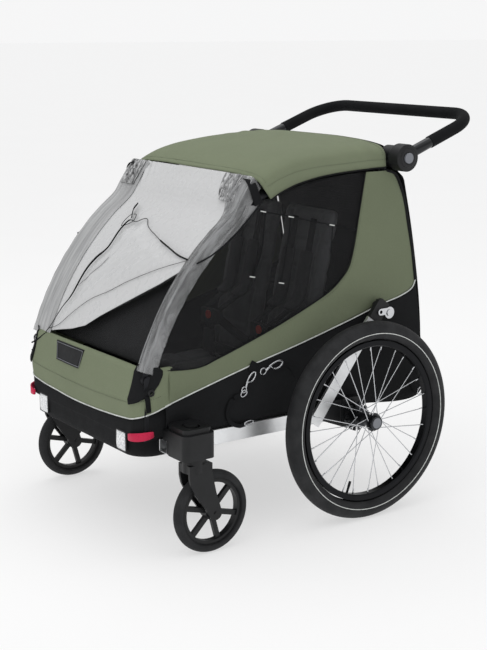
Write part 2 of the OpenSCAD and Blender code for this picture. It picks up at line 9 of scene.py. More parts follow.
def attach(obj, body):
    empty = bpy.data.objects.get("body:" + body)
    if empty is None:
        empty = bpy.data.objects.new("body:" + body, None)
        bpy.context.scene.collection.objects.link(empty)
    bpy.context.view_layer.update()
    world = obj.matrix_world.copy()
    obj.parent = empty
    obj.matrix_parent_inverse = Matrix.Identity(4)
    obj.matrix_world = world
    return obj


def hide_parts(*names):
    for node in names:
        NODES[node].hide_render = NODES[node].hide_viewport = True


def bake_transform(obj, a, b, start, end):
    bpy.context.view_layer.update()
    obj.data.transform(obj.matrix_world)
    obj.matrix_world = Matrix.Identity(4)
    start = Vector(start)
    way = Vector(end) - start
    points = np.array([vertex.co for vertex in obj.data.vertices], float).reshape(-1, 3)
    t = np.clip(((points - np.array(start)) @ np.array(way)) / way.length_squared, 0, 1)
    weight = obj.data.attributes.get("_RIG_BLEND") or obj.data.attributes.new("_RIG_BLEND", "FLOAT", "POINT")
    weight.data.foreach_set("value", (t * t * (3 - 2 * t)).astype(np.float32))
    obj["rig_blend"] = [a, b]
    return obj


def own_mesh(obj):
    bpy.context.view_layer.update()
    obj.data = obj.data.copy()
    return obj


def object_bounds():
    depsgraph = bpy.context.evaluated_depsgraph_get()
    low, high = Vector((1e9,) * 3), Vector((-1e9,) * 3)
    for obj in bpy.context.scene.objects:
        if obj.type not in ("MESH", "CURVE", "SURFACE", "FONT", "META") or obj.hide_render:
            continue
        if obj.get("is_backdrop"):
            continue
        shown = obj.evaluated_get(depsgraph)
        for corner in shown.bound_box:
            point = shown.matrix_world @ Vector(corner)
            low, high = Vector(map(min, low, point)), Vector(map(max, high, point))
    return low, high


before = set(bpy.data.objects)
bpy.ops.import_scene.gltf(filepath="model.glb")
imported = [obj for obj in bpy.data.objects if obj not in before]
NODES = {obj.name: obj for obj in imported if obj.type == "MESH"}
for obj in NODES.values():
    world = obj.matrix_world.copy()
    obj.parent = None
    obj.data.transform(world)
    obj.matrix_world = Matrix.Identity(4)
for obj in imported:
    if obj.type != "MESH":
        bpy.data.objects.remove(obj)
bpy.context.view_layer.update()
scene = bpy.context.scene

# ---------------------------------------------------------------- camera, lights, sky

camera = bpy.data.objects.new("camera", bpy.data.cameras.new("camera"))
scene.collection.objects.link(camera)
camera.location = (2.8273, -2.0100, 1.2019)
camera.rotation_euler = (math.radians(90 - 12.45), 0, math.radians(54.89))
camera.data.lens = 74.9
camera.data.sensor_width = 36
camera.data.sensor_fit = "AUTO"
camera.data.clip_start, camera.data.clip_end = 0.05, 200
scene.camera = camera
scene.view_settings.view_transform = "Standard"
scene.view_settings.look = "None"


def area_light(name, at, to, size, power):
    data = bpy.data.lights.new(name, "AREA")
    data.shape, data.size, data.energy = "DISK", size, power
    o = bpy.data.objects.new(name, data)
    scene.collection.objects.link(o)
    o.location = at
    o.rotation_euler = (Vector(to) - Vector(at)).to_track_quat("-Z", "Y").to_euler()


area_light("key", (0.9, -2.6, 3.4), (0, 0, 0.5), 2.4, 17)
area_light("top", (-0.8, 0.3, 3.8), (0, 0, 0.6), 3.0, 21)

# pale at the horizon like the floor, dimmer above it, brightest overhead
world = bpy.data.worlds.new("studio")
world.use_nodes = True
sky = world.node_tree
height = sky.nodes.new("ShaderNodeSeparateXYZ")
sky.links.new(sky.nodes.new("ShaderNodeTexCoord").outputs["Generated"], height.inputs[0])
shade = sky.nodes.new("ShaderNodeValToRGB")
stops = ((0.0, 0.925), (0.05, 0.925), (0.22, 0.50), (0.55, 0.55), (0.8, 0.95))
while len(shade.color_ramp.elements) < len(stops):
    shade.color_ramp.elements.new(0.5)
for element, (at, value) in zip(shade.color_ramp.elements, stops):
    element.position, element.color = at, (value, value, value * 1.003, 1)
sky.links.new(height.outputs[2], shade.inputs["Fac"])
sky.links.new(shade.outputs["Color"], sky.nodes["Background"].inputs["Color"])
scene.world = world

# centre on the visible side, and radius, of the rear wheels and of the casters, in metres
WHEEL, WHEEL_R = (0.371, 0.094, 0.25), 0.25
CASTER, CASTER_R = (0.34, -0.356, 0.1), 0.1

# ---------------------------------------------------------------- materials


def new_material(name, color, rough=0.6, metal=0.0, specular=0.5, sheen=0.0, coat=0.0, alpha=1.0):
    m = bpy.data.materials.new(name)
    m.use_nodes = True
    b = m.node_tree.nodes["Principled BSDF"]
    b.inputs["Base Color"].default_value = (*color, 1)
    b.inputs["Roughness"].default_value = rough
    b.inputs["Metallic"].default_value = metal
    b.inputs["Specular IOR Level"].default_value = specular
    b.inputs["Sheen Weight"].default_value = sheen
    b.inputs["Coat Weight"].default_value = coat
    b.inputs["Alpha"].default_value = alpha
    return m, m.node_tree, b


def node(tree, kind, **inputs):
    n = tree.nodes.new(kind)
    for k, v in inputs.items():
        n.inputs[k.replace("_", " ")].default_value = v
    return n


def math_node(tree, op, a, b=None):
    n = tree.nodes.new("ShaderNodeMath")
    n.operation = op
    for i, v in enumerate((a, b)):
        if v is None:
            continue
        if isinstance(v, (int, float)):
            n.inputs[i].default_value = v
        else:
            tree.links.new(v, n.inputs[i])
    return n.outputs[0]


def coords(tree):
    return tree.nodes.new("ShaderNodeTexCoord").outputs["Object"]


def noise_out(tree, vec, scale, detail=3.0, rough=0.5):
    n = node(tree, "ShaderNodeTexNoise", Scale=scale, Detail=detail, Roughness=rough)
    tree.links.new(vec, n.inputs["Vector"])
    return n.outputs["Fac"]


def tint(tree, bsdf, fac, dark, light):
    """Base colour between two colours by a factor."""
    ramp = tree.nodes.new("ShaderNodeValToRGB")
    ramp.color_ramp.elements[0].position, ramp.color_ramp.elements[1].position = 0.3, 0.7
    ramp.color_ramp.elements[0].color = (*dark, 1)
    ramp.color_ramp.elements[1].color = (*light, 1)
    tree.links.new(fac, ramp.inputs["Fac"])
    tree.links.new(ramp.outputs["Color"], bsdf.inputs["Base Color"])


def bump(tree, bsdf, height, distance, strength=1.0, under=None):
    n = node(tree, "ShaderNodeBump", Strength=strength, Distance=distance)
    tree.links.new(height, n.inputs["Height"])
    if under is not None:
        tree.links.new(under, n.inputs["Normal"])
    tree.links.new(n.outputs["Normal"], bsdf.inputs["Normal"])
    return n.outputs["Normal"]


def rough_range(tree, bsdf, fac, low, high):
    n = node(tree, "ShaderNodeMapRange")
    n.inputs["To Min"].default_value, n.inputs["To Max"].default_value = low, high
    tree.links.new(fac, n.inputs["Value"])
    tree.links.new(n.outputs["Result"], bsdf.inputs["Roughness"])


def weave(tree, vec, pitch):
    """Height of a plain weave that shows on a face of any direction."""
    parts = []
    for direction in ("X", "Y", "Z"):
        w = node(tree, "ShaderNodeTexWave", Scale=0.314 / pitch, Distortion=0.6, Detail=1.0)
        w.bands_direction = direction
        tree.links.new(vec, w.inputs["Vector"])
        parts.append(w.outputs["Fac"])
    return math_node(tree, "ADD", math_node(tree, "ADD", parts[0], parts[1]), parts[2])


def fabric(name, color, pitch=0.0016, depth=0.00025, vary=0.10, rough=0.8, sheen=0.2, specular=0.2):
    m, t, b = new_material(name, color, rough, sheen=sheen, specular=specular)
    v = coords(t)
    mix = math_node(t, "MULTIPLY", math_node(t, "ADD", noise_out(t, v, 9), noise_out(t, v, 260, 2)), 0.5)
    tint(t, b, mix, [c * (1 - vary) for c in color], [c * (1 + vary) for c in color])
    rough_range(t, b, noise_out(t, v, 40), rough - 0.08, min(1, rough + 0.1))
    soft = bump(t, b, noise_out(t, v, 14, 4), 0.0012 * 3, 0.5)
    bump(t, b, weave(t, v, pitch), depth, 0.5, under=soft)
    return m


def plastic(name, color, rough=0.42, grain=900, depth=0.00012, vary=0.18, specular=0.34):
    m, t, b = new_material(name, color, rough, specular=specular)
    v = coords(t)
    tint(t, b, noise_out(t, v, 22, 5), [c * (1 - vary) for c in color], [c * (1 + vary) for c in color])
    rough_range(t, b, noise_out(t, v, 60, 4), rough - 0.08, rough + 0.12)
    bump(t, b, noise_out(t, v, grain, 2), depth, 0.5)
    return m


def metal(name, color, rough=0.3, brushed=(1, 1, 1), depth=0.00006, coat=0.0):
    m, t, b = new_material(name, color, rough, metal=1.0, coat=coat)
    v = coords(t)
    mapping = node(t, "ShaderNodeMapping")
    mapping.inputs["Scale"].default_value = brushed
    t.links.new(v, mapping.inputs["Vector"])
    lines = noise_out(t, mapping.outputs["Vector"], 420, 3)
    tint(t, b, noise_out(t, v, 16, 4), [c * 0.9 for c in color], [min(1, c * 1.06) for c in color])
    rough_range(t, b, lines, rough - 0.07, rough + 0.12)
    bump(t, b, lines, depth, 0.5)
    return m


def film(name, color, alpha, rough=0.18, waves=30.0, depth=0.002, fold_light_painted=0.0):
    """Soft clear sheet: glossy, faintly milky, with shallow waves. Streaked films get light and dark bands
    painted into their colour: painted highlights and painted shade along folds.
    """
    m, t, b = new_material(name, color, rough, alpha=alpha, coat=0.3)
    v = coords(t)
    n = noise_out(t, v, waves, 3, 0.6)
    # painted highlights and painted shade in bands along the film's folds
    if fold_light_painted:
        mapping = node(t, "ShaderNodeMapping")
        mapping.inputs["Scale"].default_value = (110, 7, 7)
        t.links.new(v, mapping.inputs["Vector"])
        n = noise_out(t, mapping.outputs["Vector"], 1.0, 4, 0.62)
        tint(t, b, n, [c * (1 - fold_light_painted) for c in color], [min(1, c * (1 + fold_light_painted * 0.9)) for c in color])
    else:
        tint(t, b, n, [c * 0.97 for c in color], [min(1, c * 1.02) for c in color])
    rough_range(t, b, noise_out(t, v, 45), rough - 0.06, rough + 0.1)
    bump(t, b, n, depth, 0.35)
    return m


def mesh_fabric(name, color, low, high, pitch=0.0022):
    """Open mesh: fine round holes that let the inside show."""
    m, t, b = new_material(name, color, 0.75, specular=0.2)
    v = coords(t)
    w = weave(t, v, pitch)
    n = node(t, "ShaderNodeMapRange")
    n.inputs["From Min"].default_value, n.inputs["From Max"].default_value = 0.8, 2.0
    n.inputs["To Min"].default_value, n.inputs["To Max"].default_value = low, high
    t.links.new(w, n.inputs["Value"])
    t.links.new(n.outputs["Result"], b.inputs["Alpha"])
    tint(t, b, noise_out(t, v, 12), [c * 0.9 for c in color], [c * 1.15 for c in color])
    bump(t, b, w, 0.0003, 0.4)
    return m


def tyre_rubber(name, centre, radius, blocks):
    """Rubber with a fine block tread on the running face and rings moulded in the side wall."""
    m, t, b = new_material(name, (0.018, 0.0185, 0.02), 0.66, specular=0.22)
    v = coords(t)
    split = t.nodes.new("ShaderNodeSeparateXYZ")
    t.links.new(v, split.inputs[0])
    outer = math_node(t, "ABSOLUTE", split.outputs[0])
    x = math_node(t, "ABSOLUTE", math_node(t, "SUBTRACT", outer, centre[0]))
    y = math_node(t, "SUBTRACT", split.outputs[1], centre[1])
    z = math_node(t, "SUBTRACT", split.outputs[2], centre[2])
    angle = math_node(t, "ARCTAN2", z, y)
    squares = math_node(t, "ADD", math_node(t, "MULTIPLY", y, y), math_node(t, "MULTIPLY", z, z))
    r = math_node(t, "SQRT", squares)
    slant = math_node(t, "ADD", math_node(t, "MULTIPLY", angle, blocks), math_node(t, "MULTIPLY", x, 260))
    cuts = math_node(t, "GREATER_THAN", math_node(t, "SINE", slant), -0.55)
    rows = math_node(t, "GREATER_THAN", math_node(t, "SINE", math_node(t, "MULTIPLY", x, 700)), -0.7)
    tread = math_node(t, "MULTIPLY", cuts, rows)
    run = math_node(t, "GREATER_THAN", r, radius - 0.009)
    rings = math_node(t, "MULTIPLY", math_node(t, "SINE", math_node(t, "MULTIPLY", r, 1400)), 0.12)
    height = math_node(t, "ADD", math_node(t, "MULTIPLY", tread, run), rings)
    tint(t, b, noise_out(t, v, 30, 5), (0.015, 0.0155, 0.0168), (0.028, 0.0285, 0.030))
    rough_range(t, b, noise_out(t, v, 80, 3), 0.55, 0.8)
    grain = bump(t, b, noise_out(t, v, 700, 2), 0.0002, 0.4)
    bump(t, b, height, 0.0011, 0.7, under=grain)
    return m


GREEN = (0.196, 0.226, 0.146)
M = {
    "green": fabric("green_fabric", GREEN, vary=0.05, rough=0.85, sheen=0.04, specular=0.12),
    # the same green fabric darkened to 0.88 for the side panels: painted shade of the sides, which face away
    # from the top light
    "green_side": fabric("green_side_fabric", [c * 0.88 for c in GREEN], vary=0.05, rough=0.85, sheen=0.04,
                         specular=0.10),
    "black": fabric("black_fabric", (0.0125, 0.013, 0.0140), vary=0.16, rough=0.78, sheen=0.0, specular=0.10),
    "lining": fabric("lining_fabric", (0.030, 0.031, 0.033), vary=0.15, sheen=0.05),
    "seat": fabric("seat_fabric", (0.105, 0.108, 0.114), pitch=0.003, depth=0.0004, vary=0.2, sheen=0.15),
    "webbing": fabric("webbing", (0.0085, 0.009, 0.010), pitch=0.0024, depth=0.0004, vary=0.2, rough=0.7,
                      sheen=0.0, specular=0.12),
    "thread": fabric("thread", (0.10, 0.115, 0.08), pitch=0.001, vary=0.1, sheen=0.0),
    "red_loop": fabric("red_loop", (0.58, 0.020, 0.072), pitch=0.002, vary=0.12, rough=0.6, sheen=0.05),
    "screen": mesh_fabric("front_screen", (0.022, 0.0225, 0.024), 0.74, 0.86, pitch=0.0009),
    "window": mesh_fabric("window_mesh", (0.034, 0.0345, 0.036), 0.225, 0.255, pitch=0.0009),
    "vinyl": film("clear_vinyl", (0.70, 0.705, 0.71), 0.88, rough=0.26, waves=3, depth=0.0008),
    # both pillar films get painted highlight and shade bands along their folds
    "vinyl_thin": film("thin_vinyl", (0.52, 0.525, 0.53), 0.70, rough=0.2, fold_light_painted=0.30, depth=0.003),
    "sleeve": film("sleeve_vinyl", (0.30, 0.305, 0.31), 0.55, rough=0.16, fold_light_painted=0.85, depth=0.004),
    "plastic": plastic("black_plastic", (0.0105, 0.011, 0.0120), 0.42, specular=0.30),
    "dull": plastic("dull_plastic", (0.014, 0.0145, 0.016), 0.6, specular=0.2),
    "grey": plastic("grey_plastic", (0.20, 0.21, 0.232), 0.38, vary=0.06, specular=0.4),
    "foam": plastic("grip_foam", (0.0095, 0.010, 0.0110), 0.85, grain=1400, depth=0.0006, specular=0.12),
    "caster": plastic("caster_plastic", (0.0098, 0.0102, 0.0111), 0.42, specular=0.30),
    "red": plastic("red_button", (0.72, 0.058, 0.024), 0.3, vary=0.06),
    "alu": metal("rail_aluminium", (0.80, 0.81, 0.82), 0.34, brushed=(1, 0.03, 1)),
    "frame": metal("powder_coat", (0.030, 0.031, 0.034), 0.45),
    "gloss_tube": metal("gloss_tube", (0.022, 0.023, 0.025), 0.22, coat=0.5),
    "chrome": metal("plated_steel", (0.62, 0.63, 0.65), 0.16),
    "steel": metal("spoke_steel", (0.62, 0.63, 0.65), 0.2),
    "hub": metal("hub_black", (0.05, 0.052, 0.056), 0.35),
    "rim": metal("rim_black", (0.018, 0.0185, 0.02), 0.3, brushed=(0.05, 1, 1)),
    "tyre": tyre_rubber("tyre_rubber", WHEEL, WHEEL_R, 92),
    "caster_tyre": tyre_rubber("caster_rubber", CASTER, CASTER_R, 60),
}


def floor_material():
    """Pale studio floor that glows a little, so shadows stay soft."""
    m, t, b = new_material("floor", (0.93, 0.93, 0.93), 0.95, specular=0.0)
    v = coords(t)
    tint(t, b, noise_out(t, v, 1.5), (0.445, 0.445, 0.446), (0.455, 0.455, 0.456))
    b.inputs["Emission Color"].default_value = (1, 1, 1, 1)
    b.inputs["Emission Strength"].default_value = 0.555
    return m


def crumple_material():
    """Creased clear film: painted highlights on its ridges and painted shade in the hollows between them."""
    m, t, b = new_material("creased_film", (0.3, 0.3, 0.3), 0.2, coat=0.4, alpha=0.92)
    v = coords(t)
    ridge = node(t, "ShaderNodeTexNoise", Scale=1.0, Detail=3.0, Distortion=1.1)
    tall = node(t, "ShaderNodeMapping")
    tall.inputs["Scale"].default_value = (120, 30, 26)
    t.links.new(v, tall.inputs["Vector"])
    t.links.new(tall.outputs["Vector"], ridge.inputs["Vector"])
    # colour ramp: painted shade in the hollows, painted highlight on the ridges
    ramp = t.nodes.new("ShaderNodeValToRGB")
    ramp.color_ramp.elements[0].position, ramp.color_ramp.elements[0].color = 0.38, (0.055, 0.056, 0.058, 1)
    ramp.color_ramp.elements[1].position, ramp.color_ramp.elements[1].color = 0.66, (0.66, 0.665, 0.67, 1)
    t.links.new(ridge.outputs["Fac"], ramp.inputs["Fac"])
    t.links.new(ramp.outputs["Color"], b.inputs["Base Color"])
    rough_range(t, b, noise_out(t, v, 40), 0.12, 0.3)
    bump(t, b, ridge.outputs["Fac"], 0.002, 0.6)
    return m


def reflector_material():
    m, t, b = new_material("reflector", (0.86, 0.87, 0.88), 0.12, coat=0.8)
    v = coords(t)
    cell = node(t, "ShaderNodeTexVoronoi", Scale=230.0)
    t.links.new(v, cell.inputs["Vector"])
    tint(t, b, cell.outputs["Distance"], (0.95, 0.955, 0.96), (0.62, 0.64, 0.66))
    rough_range(t, b, noise_out(t, v, 70), 0.08, 0.2)
    bump(t, b, cell.outputs["Distance"], 0.0006, 0.7)
    return m


def piping_material():
    m, t, b = new_material("reflective_piping", (0.66, 0.68, 0.66), 0.35, specular=0.7)
    v = coords(t)
    tint(t, b, noise_out(t, v, 120), (0.52, 0.54, 0.52), (0.78, 0.80, 0.78))
    rough_range(t, b, noise_out(t, v, 300), 0.25, 0.45)
    bump(t, b, weave(t, v, 0.0012), 0.0002, 0.5)
    return m


M["floor"] = floor_material()
M["crumple"] = crumple_material()
M["reflector"] = reflector_material()
M["piping"] = piping_material()

# ---------------------------------------------------------------- mesh helpers


def turn(n):
    """n angles round a full turn."""
    return np.linspace(0, 2 * math.pi, n, endpoint=False)


def smooth_step(t):
    return t * t * (3 - 2 * t)


def quads(n, k, rings=True, loop=False):
    """Faces between n rows of k points: rings closes each row, loop joins the last row to the first."""
    return [(i * k + j, i * k + (j + 1) % k, (i + 1) % n * k + (j + 1) % k, (i + 1) % n * k + j)
            for i in range(n if loop else n - 1) for j in range(k if rings else k - 1)]


def caps(n, k):
    """Faces that close the first and the last of n rings of k points."""
    return [tuple(range(k - 1, -1, -1)), tuple((n - 1) * k + j for j in range(k))]


def bake(o):
    """Applies an object's modifiers to its mesh."""
    dg = bpy.context.evaluated_depsgraph_get()
    me = bpy.data.meshes.new_from_object(o.evaluated_get(dg))
    o.modifiers.clear()
    o.data = me
    return o


def from_mesh(name, verts, faces, mat):
    me = bpy.data.meshes.new(name)
    me.from_pydata([tuple(v) for v in verts], [], faces)
    bm = bmesh.new()
    bm.from_mesh(me)
    bmesh.ops.remove_doubles(bm, verts=bm.verts, dist=1e-6)
    bmesh.ops.recalc_face_normals(bm, faces=bm.faces)
    bm.to_mesh(me)
    bm.free()
    me.materials.append(mat)
    for p in me.polygons:
        p.use_smooth = True
    o = bpy.data.objects.new(name, me)
    scene.collection.objects.link(o)
    return o


def grid(name, rows, mat, thick):
    """Sheet through rows of points, given a real thickness."""
    o = from_mesh(name, [p for row in rows for p in row], quads(len(rows), len(rows[0]), rings=False), mat)
    s = o.modifiers.new("thick", "SOLIDIFY")
    s.thickness, s.offset = thick, 0
    return bake(o)


def spline(points, n, closed=False):
    """n points at even spacing on a smooth curve through the given ones."""
    p = np.array(points, float)
    if closed:
        p = np.vstack([p[-1], p, p[0], p[1]])
    else:
        p = np.vstack([2 * p[0] - p[1], p, 2 * p[-1] - p[-2]])
    out = []
    for i in range(1, len(p) - 2):
        for t in np.linspace(0, 1, 24, endpoint=False):
            a, b, c, d = p[i - 1], p[i], p[i + 1], p[i + 2]
            bend, twist = 2 * a - 5 * b + 4 * c - d, 3 * b - a - 3 * c + d
            out.append(0.5 * (2 * b + (c - a) * t + bend * t**2 + twist * t**3))
    out.append(p[-2])
    return even(out, n)


def arc_length(p):
    """Distance along a line of points, at each of them."""
    return np.concatenate([[0], np.cumsum(np.linalg.norm(np.diff(p, axis=0), axis=1))])


def even(points, n):
    """n points at even spacing on a broken line."""
    p = np.array(points, float)
    s = arc_length(p)
    q = np.linspace(0, s[-1], n)
    return np.stack([np.interp(q, s, p[:, k]) for k in range(p.shape[1])], axis=1)


def tube(name, points, radius, mat, sides=10, taper=None, closed=False):
    """Round tube along points; taper scales its radius at each of them."""
    p = np.array(points, float)
    n = len(p)
    tangent = np.gradient(p, axis=0) if not closed else np.roll(p, -1, 0) - np.roll(p, 1, 0)
    tangent /= np.linalg.norm(tangent, axis=1)[:, None]
    normal = np.cross(tangent[0], [0.31, 0.22, 0.93])
    rows = []
    for i in range(n):
        normal -= tangent[i] * (normal @ tangent[i])
        normal /= np.linalg.norm(normal)
        side = np.cross(tangent[i], normal)
        r = radius * (taper[i] if taper is not None else 1)
        rows.append([p[i] + r * (math.cos(a) * normal + math.sin(a) * side) for a in turn(sides)])
    faces = quads(n, sides, loop=closed) + ([] if closed else caps(n, sides))
    return from_mesh(name, [v for row in rows for v in row], faces, mat)


def strap(name, path, across, width, thick=0.0018, mat=None, taper=None):
    """Flat webbing along a path; across is the direction of its width, a vector or one per point."""
    p = np.array(path, float)
    n = len(p)
    across = np.array(across, float)
    if across.ndim == 1:
        across = np.tile(across, (n, 1))
    tangent = np.gradient(p, axis=0)
    tangent /= np.linalg.norm(tangent, axis=1)[:, None]
    section = [(-0.5, -0.25), (-0.47, -0.5), (0.47, -0.5), (0.5, -0.25),
               (0.5, 0.25), (0.47, 0.5), (-0.47, 0.5), (-0.5, 0.25)]
    rows = []
    for i in range(n):
        a = across[i] - tangent[i] * (across[i] @ tangent[i])
        a /= np.linalg.norm(a)
        up = np.cross(tangent[i], a)
        w = width * (taper[i] if taper is not None else 1)
        rows.append([p[i] + a * w * u + up * thick * v for u, v in section])
    faces = quads(n, len(section)) + caps(n, len(section))
    return from_mesh(name, [v for row in rows for v in row], faces, mat or M["webbing"])


def stitches(name, path, out, mat, length=0.0035, space=0.0025, radius=0.0006):
    """A row of short thread stitches along a path, lying on the surface."""
    p = np.array(path, float)
    s = arc_length(p)
    o = np.array(out, float)
    verts, faces = [], []
    at = 0.0
    while at + length < s[-1]:
        a, b = [np.array([np.interp(q, s, p[:, k]) for k in range(3)]) + o for q in (at, at + length)]
        d = (b - a) / np.linalg.norm(b - a)
        u = np.cross(d, [0.2, 0.9, 0.4])
        u /= np.linalg.norm(u)
        w = np.cross(d, u)
        base = len(verts)
        for c, r in ((a, 0.4), ((a + b) / 2, 1.0), (b, 0.4)):
            verts += [c + radius * r * (math.cos(t) * u + math.sin(t) * w) for t in turn(5)]
        faces += [tuple(base + v for v in face) for face in quads(3, 5)]
        at += length + space
    return from_mesh(name, verts, faces, mat)


def join(name, objects):
    """One object from several, keeping their materials."""
    verts, faces, mats, index = [], [], [], []
    for o in objects:
        base = len(verts)
        verts += [tuple(v.co) for v in o.data.vertices]
        own = list(o.data.materials)
        for m in own:
            if m not in mats:
                mats.append(m)
        for p in o.data.polygons:
            faces.append(tuple(base + v for v in p.vertices))
            index.append(mats.index(own[p.material_index]))
        me = o.data
        bpy.data.objects.remove(o)
        bpy.data.meshes.remove(me)
    me = bpy.data.meshes.new(name)
    me.from_pydata(verts, [], faces)
    for m in mats:
        me.materials.append(m)
    for p, i in zip(me.polygons, index):
        p.material_index, p.use_smooth = i, True
    o = bpy.data.objects.new(name, me)
    scene.collection.objects.link(o)
    return o


def flip(points, side):
    """Points of the visible side, mirrored for the other one."""
    p = np.array(points, float)
    p[..., 0] *= side
    return p


SIDES = (("left", 1), ("right", -1))

# ---------------------------------------------------------------- shared lines, in metres

# side views are (y, z): the roof's front hinge, the centre and radius of the pillars' arc, seams and edges
HINGE = (-0.481, 0.415)
ARC_Y, ARC_Z, BAR_R = 0.1781, 0.2110, 0.690
TRIM = [(-0.430, 0.3545), (-0.346, 0.377), (-0.204, 0.413), (-0.055, 0.447), (0.102, 0.487), (0.199, 0.514),
        (0.266, 0.529), (0.306, 0.545), (0.319, 0.567)]
REAR_EDGE = [(0.319, 0.567), (0.306, 0.645), (0.294, 0.697), (0.278, 0.762), (0.263, 0.808), (0.243, 0.842),
             (0.212, 0.853)]
WINDOW = [(-0.452, 0.4365), (-0.351, 0.430), (-0.290, 0.445), (-0.204, 0.472), (-0.116, 0.502),
          (-0.025, 0.538), (0.037, 0.566), (0.074, 0.594), (0.099, 0.624), (0.114, 0.675), (0.125, 0.736),
          (0.136, 0.797), (0.146, 0.853)]
SKIRT = [(-0.144, 0.805), (-0.118, 0.819), (-0.089, 0.830), (-0.059, 0.839), (0.001, 0.850), (0.062, 0.856),
         (0.140, 0.860), (0.209, 0.862)]
ROOF = [(-0.176, 0.866), (-0.130, 0.888), (-0.074, 0.905), (-0.010, 0.917), (0.060, 0.925), (0.150, 0.930),
        (0.209, 0.928)]
SKIN_X = 0.2805


def wobble(p, scale, amount, seed=0.0):
    """Soft unevenness of cloth at a point."""
    q = Vector((p[0] * scale + seed, p[1] * scale - seed, p[2] * scale + 2 * seed))
    return amount * noise.noise(q)


def front_profile():
    """Side-view line of the rain cover: the pillar's arc, then a run up to the roof's front edge."""
    r = BAR_R + 0.0135
    pts = []
    for z in np.linspace(0.30, 0.775, 60):
        s = (z - ARC_Z) / r
        pts.append((ARC_Y - r * math.sqrt(1 - s * s), z))
    ends = spline([pts[-6], pts[-1], (-0.2135, 0.8180), (-0.1815, 0.8610), (-0.1765, 0.8680)], 80)
    return np.vstack([pts[:-6], ends])


PROFILE = front_profile()


def front_at(x, z, lift=0.0):
    """Point of the front cover's surface at a height, lifted along its normal."""
    y = np.interp(z, PROFILE[:, 1], PROFILE[:, 0])
    below, above = [np.interp(z + step, PROFILE[:, 1], PROFILE[:, 0]) for step in (-0.004, 0.004)]
    n = np.array([-0.008, above - below]) / math.hypot(0.008, above - below)
    return np.array([x, y + lift * n[0], z + lift * n[1]])


def fan(o):
    """Bends a side fabric between the fixed tub and the folding roof frame, as a fan about the front hinge.

    The share of the fold grows with the angle about the hinge, so the cloth folds flat between the two. A
    mesh without that attribute keeps its own blend."""
    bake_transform(o, "chassis", "roof_frame", start=(0, 0.343, 0.335), end=(0, 0.063, 0.767))
    share = o.data.attributes.get("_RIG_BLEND")
    if share is not None:
        co = np.array([v.co for v in o.data.vertices])
        angle = np.degrees(np.arctan2(co[:, 2] - HINGE[1], np.maximum(co[:, 1] - HINGE[0], 1e-4)))
        share.data.foreach_set("value", np.clip((angle + 5.8) / 38.8, 0, 1).astype(np.float32))


def cloth_of(rows):
    """Works out the flat width, height and area of a sheet's middle surface from its rows of points; nothing
    is kept.
    """
    p = np.array(rows, float)
    wide = np.linalg.norm(np.diff(p, axis=1), axis=2).sum(1)
    tall = np.linalg.norm(np.diff(p, axis=0), axis=2).sum(0)
    e, f = p[1:, :-1] - p[:-1, :-1], p[:-1, 1:] - p[:-1, :-1]
    g, h = p[1:, :-1] - p[1:, 1:], p[:-1, 1:] - p[1:, 1:]
    area = float((np.linalg.norm(np.cross(e, f), axis=2) + np.linalg.norm(np.cross(g, h), axis=2)).sum() / 2)
    w, t = float(np.percentile(wide, 80)), float(np.percentile(tall, 80))
    w = max(w, area / t)


# ---------------------------------------------------------------- tub and front band


def plan(half, front, rear, corner, n=15, rear_corner=0.03):
    """Closed outline of the body seen from above, with an outward direction at each point."""
    out = []

    def arc(cx, cy, r, a0, a1, k):
        for a in np.linspace(a0, a1, k):
            out.append((cx + r * math.cos(a), cy + r * math.sin(a), math.cos(a), math.sin(a)))

    for x in np.linspace(0, half - corner, 16)[:-1]:
        out.append((x, front, 0, -1))
    arc(half - corner, front + corner, corner, -math.pi / 2, 0, n)
    for y in np.linspace(front + corner + 0.004, rear - rear_corner, 32):
        out.append((half, y, 1, 0))
    arc(half - rear_corner, rear - rear_corner, rear_corner, 0, math.pi / 2, 7)
    for x in np.linspace(half - rear_corner, 0, 10)[1:]:
        out.append((x, rear, 0, 1))
    for x, y, nx, ny in out[-2:0:-1]:
        out.append((-x, y, -nx, ny))
    return out


# (height, half width, front, rear, corner radius): below the rails' tops the body is narrow, so that the way
# into each hitch socket stays free
tub_rings = [(0.2175, 0.208, -0.462, 0.028, 0.045), (0.2185, 0.228, -0.478, 0.044, 0.050),
             (0.2220, 0.240, -0.490, 0.052, 0.054), (0.2290, 0.2475, -0.4985, 0.057, 0.056),
             (0.2400, 0.2505, -0.5030, 0.060, 0.057), (0.2560, 0.2508, -0.5050, 0.060, 0.057),
             (0.2700, 0.2510, -0.5060, 0.060, 0.056), (0.2760, 0.2512, -0.5065, 0.060, 0.055),
             (0.2770, 0.2600, -0.5075, 0.30, 0.050), (0.2778, 0.2765, -0.5082, 0.3405, 0.045),
             (0.2820, 0.2793, -0.5085, 0.3430, 0.043), (0.3000, 0.2797, -0.5085, 0.3435, 0.041),
             (0.3470, 0.2797, -0.5085, 0.3435, 0.039)]
tub_rows = []
for z, half, front, rear, corner in tub_rings:
    tub_rows.append([(x + nx * wobble((x, y, z), 9, 0.0014, 3), y + ny * wobble((x, y, z), 9, 0.0010, 3), z)
                     for x, y, nx, ny in plan(half, front, rear, corner)])
tub_size = len(tub_rows), len(tub_rows[0])
tub_faces = quads(*tub_size) + caps(*tub_size)[:1]
tub = from_mesh("tub_shell", [p for row in tub_rows for p in row], tub_faces, M["black"])
thick = tub.modifiers.new("thick", "SOLIDIFY")
thick.thickness, thick.offset = 0.0028, -1
bake(tub)
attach(tub, "chassis")
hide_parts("tub")


BAND_X, BAND_TOP = 0.2832, 0.4435


def band_outline():
    """Arc-length table of the front band's plan from the middle round one corner and back along the side."""
    pts = [p for p in plan(BAND_X, -0.5105, 0.2, 0.052, n=21) if p[0] >= 0 and p[1] < -0.436]
    p = np.array(pts + [(BAND_X, -0.424, 1, 0)])
    return arc_length(p[:, :2]), p


BAND_S, BAND_P = band_outline()


def band_foot(x, y):
    return 0.3115 + 0.0185 * (x / BAND_X) ** 2 + max(0.0, y + 0.509) * 0.30


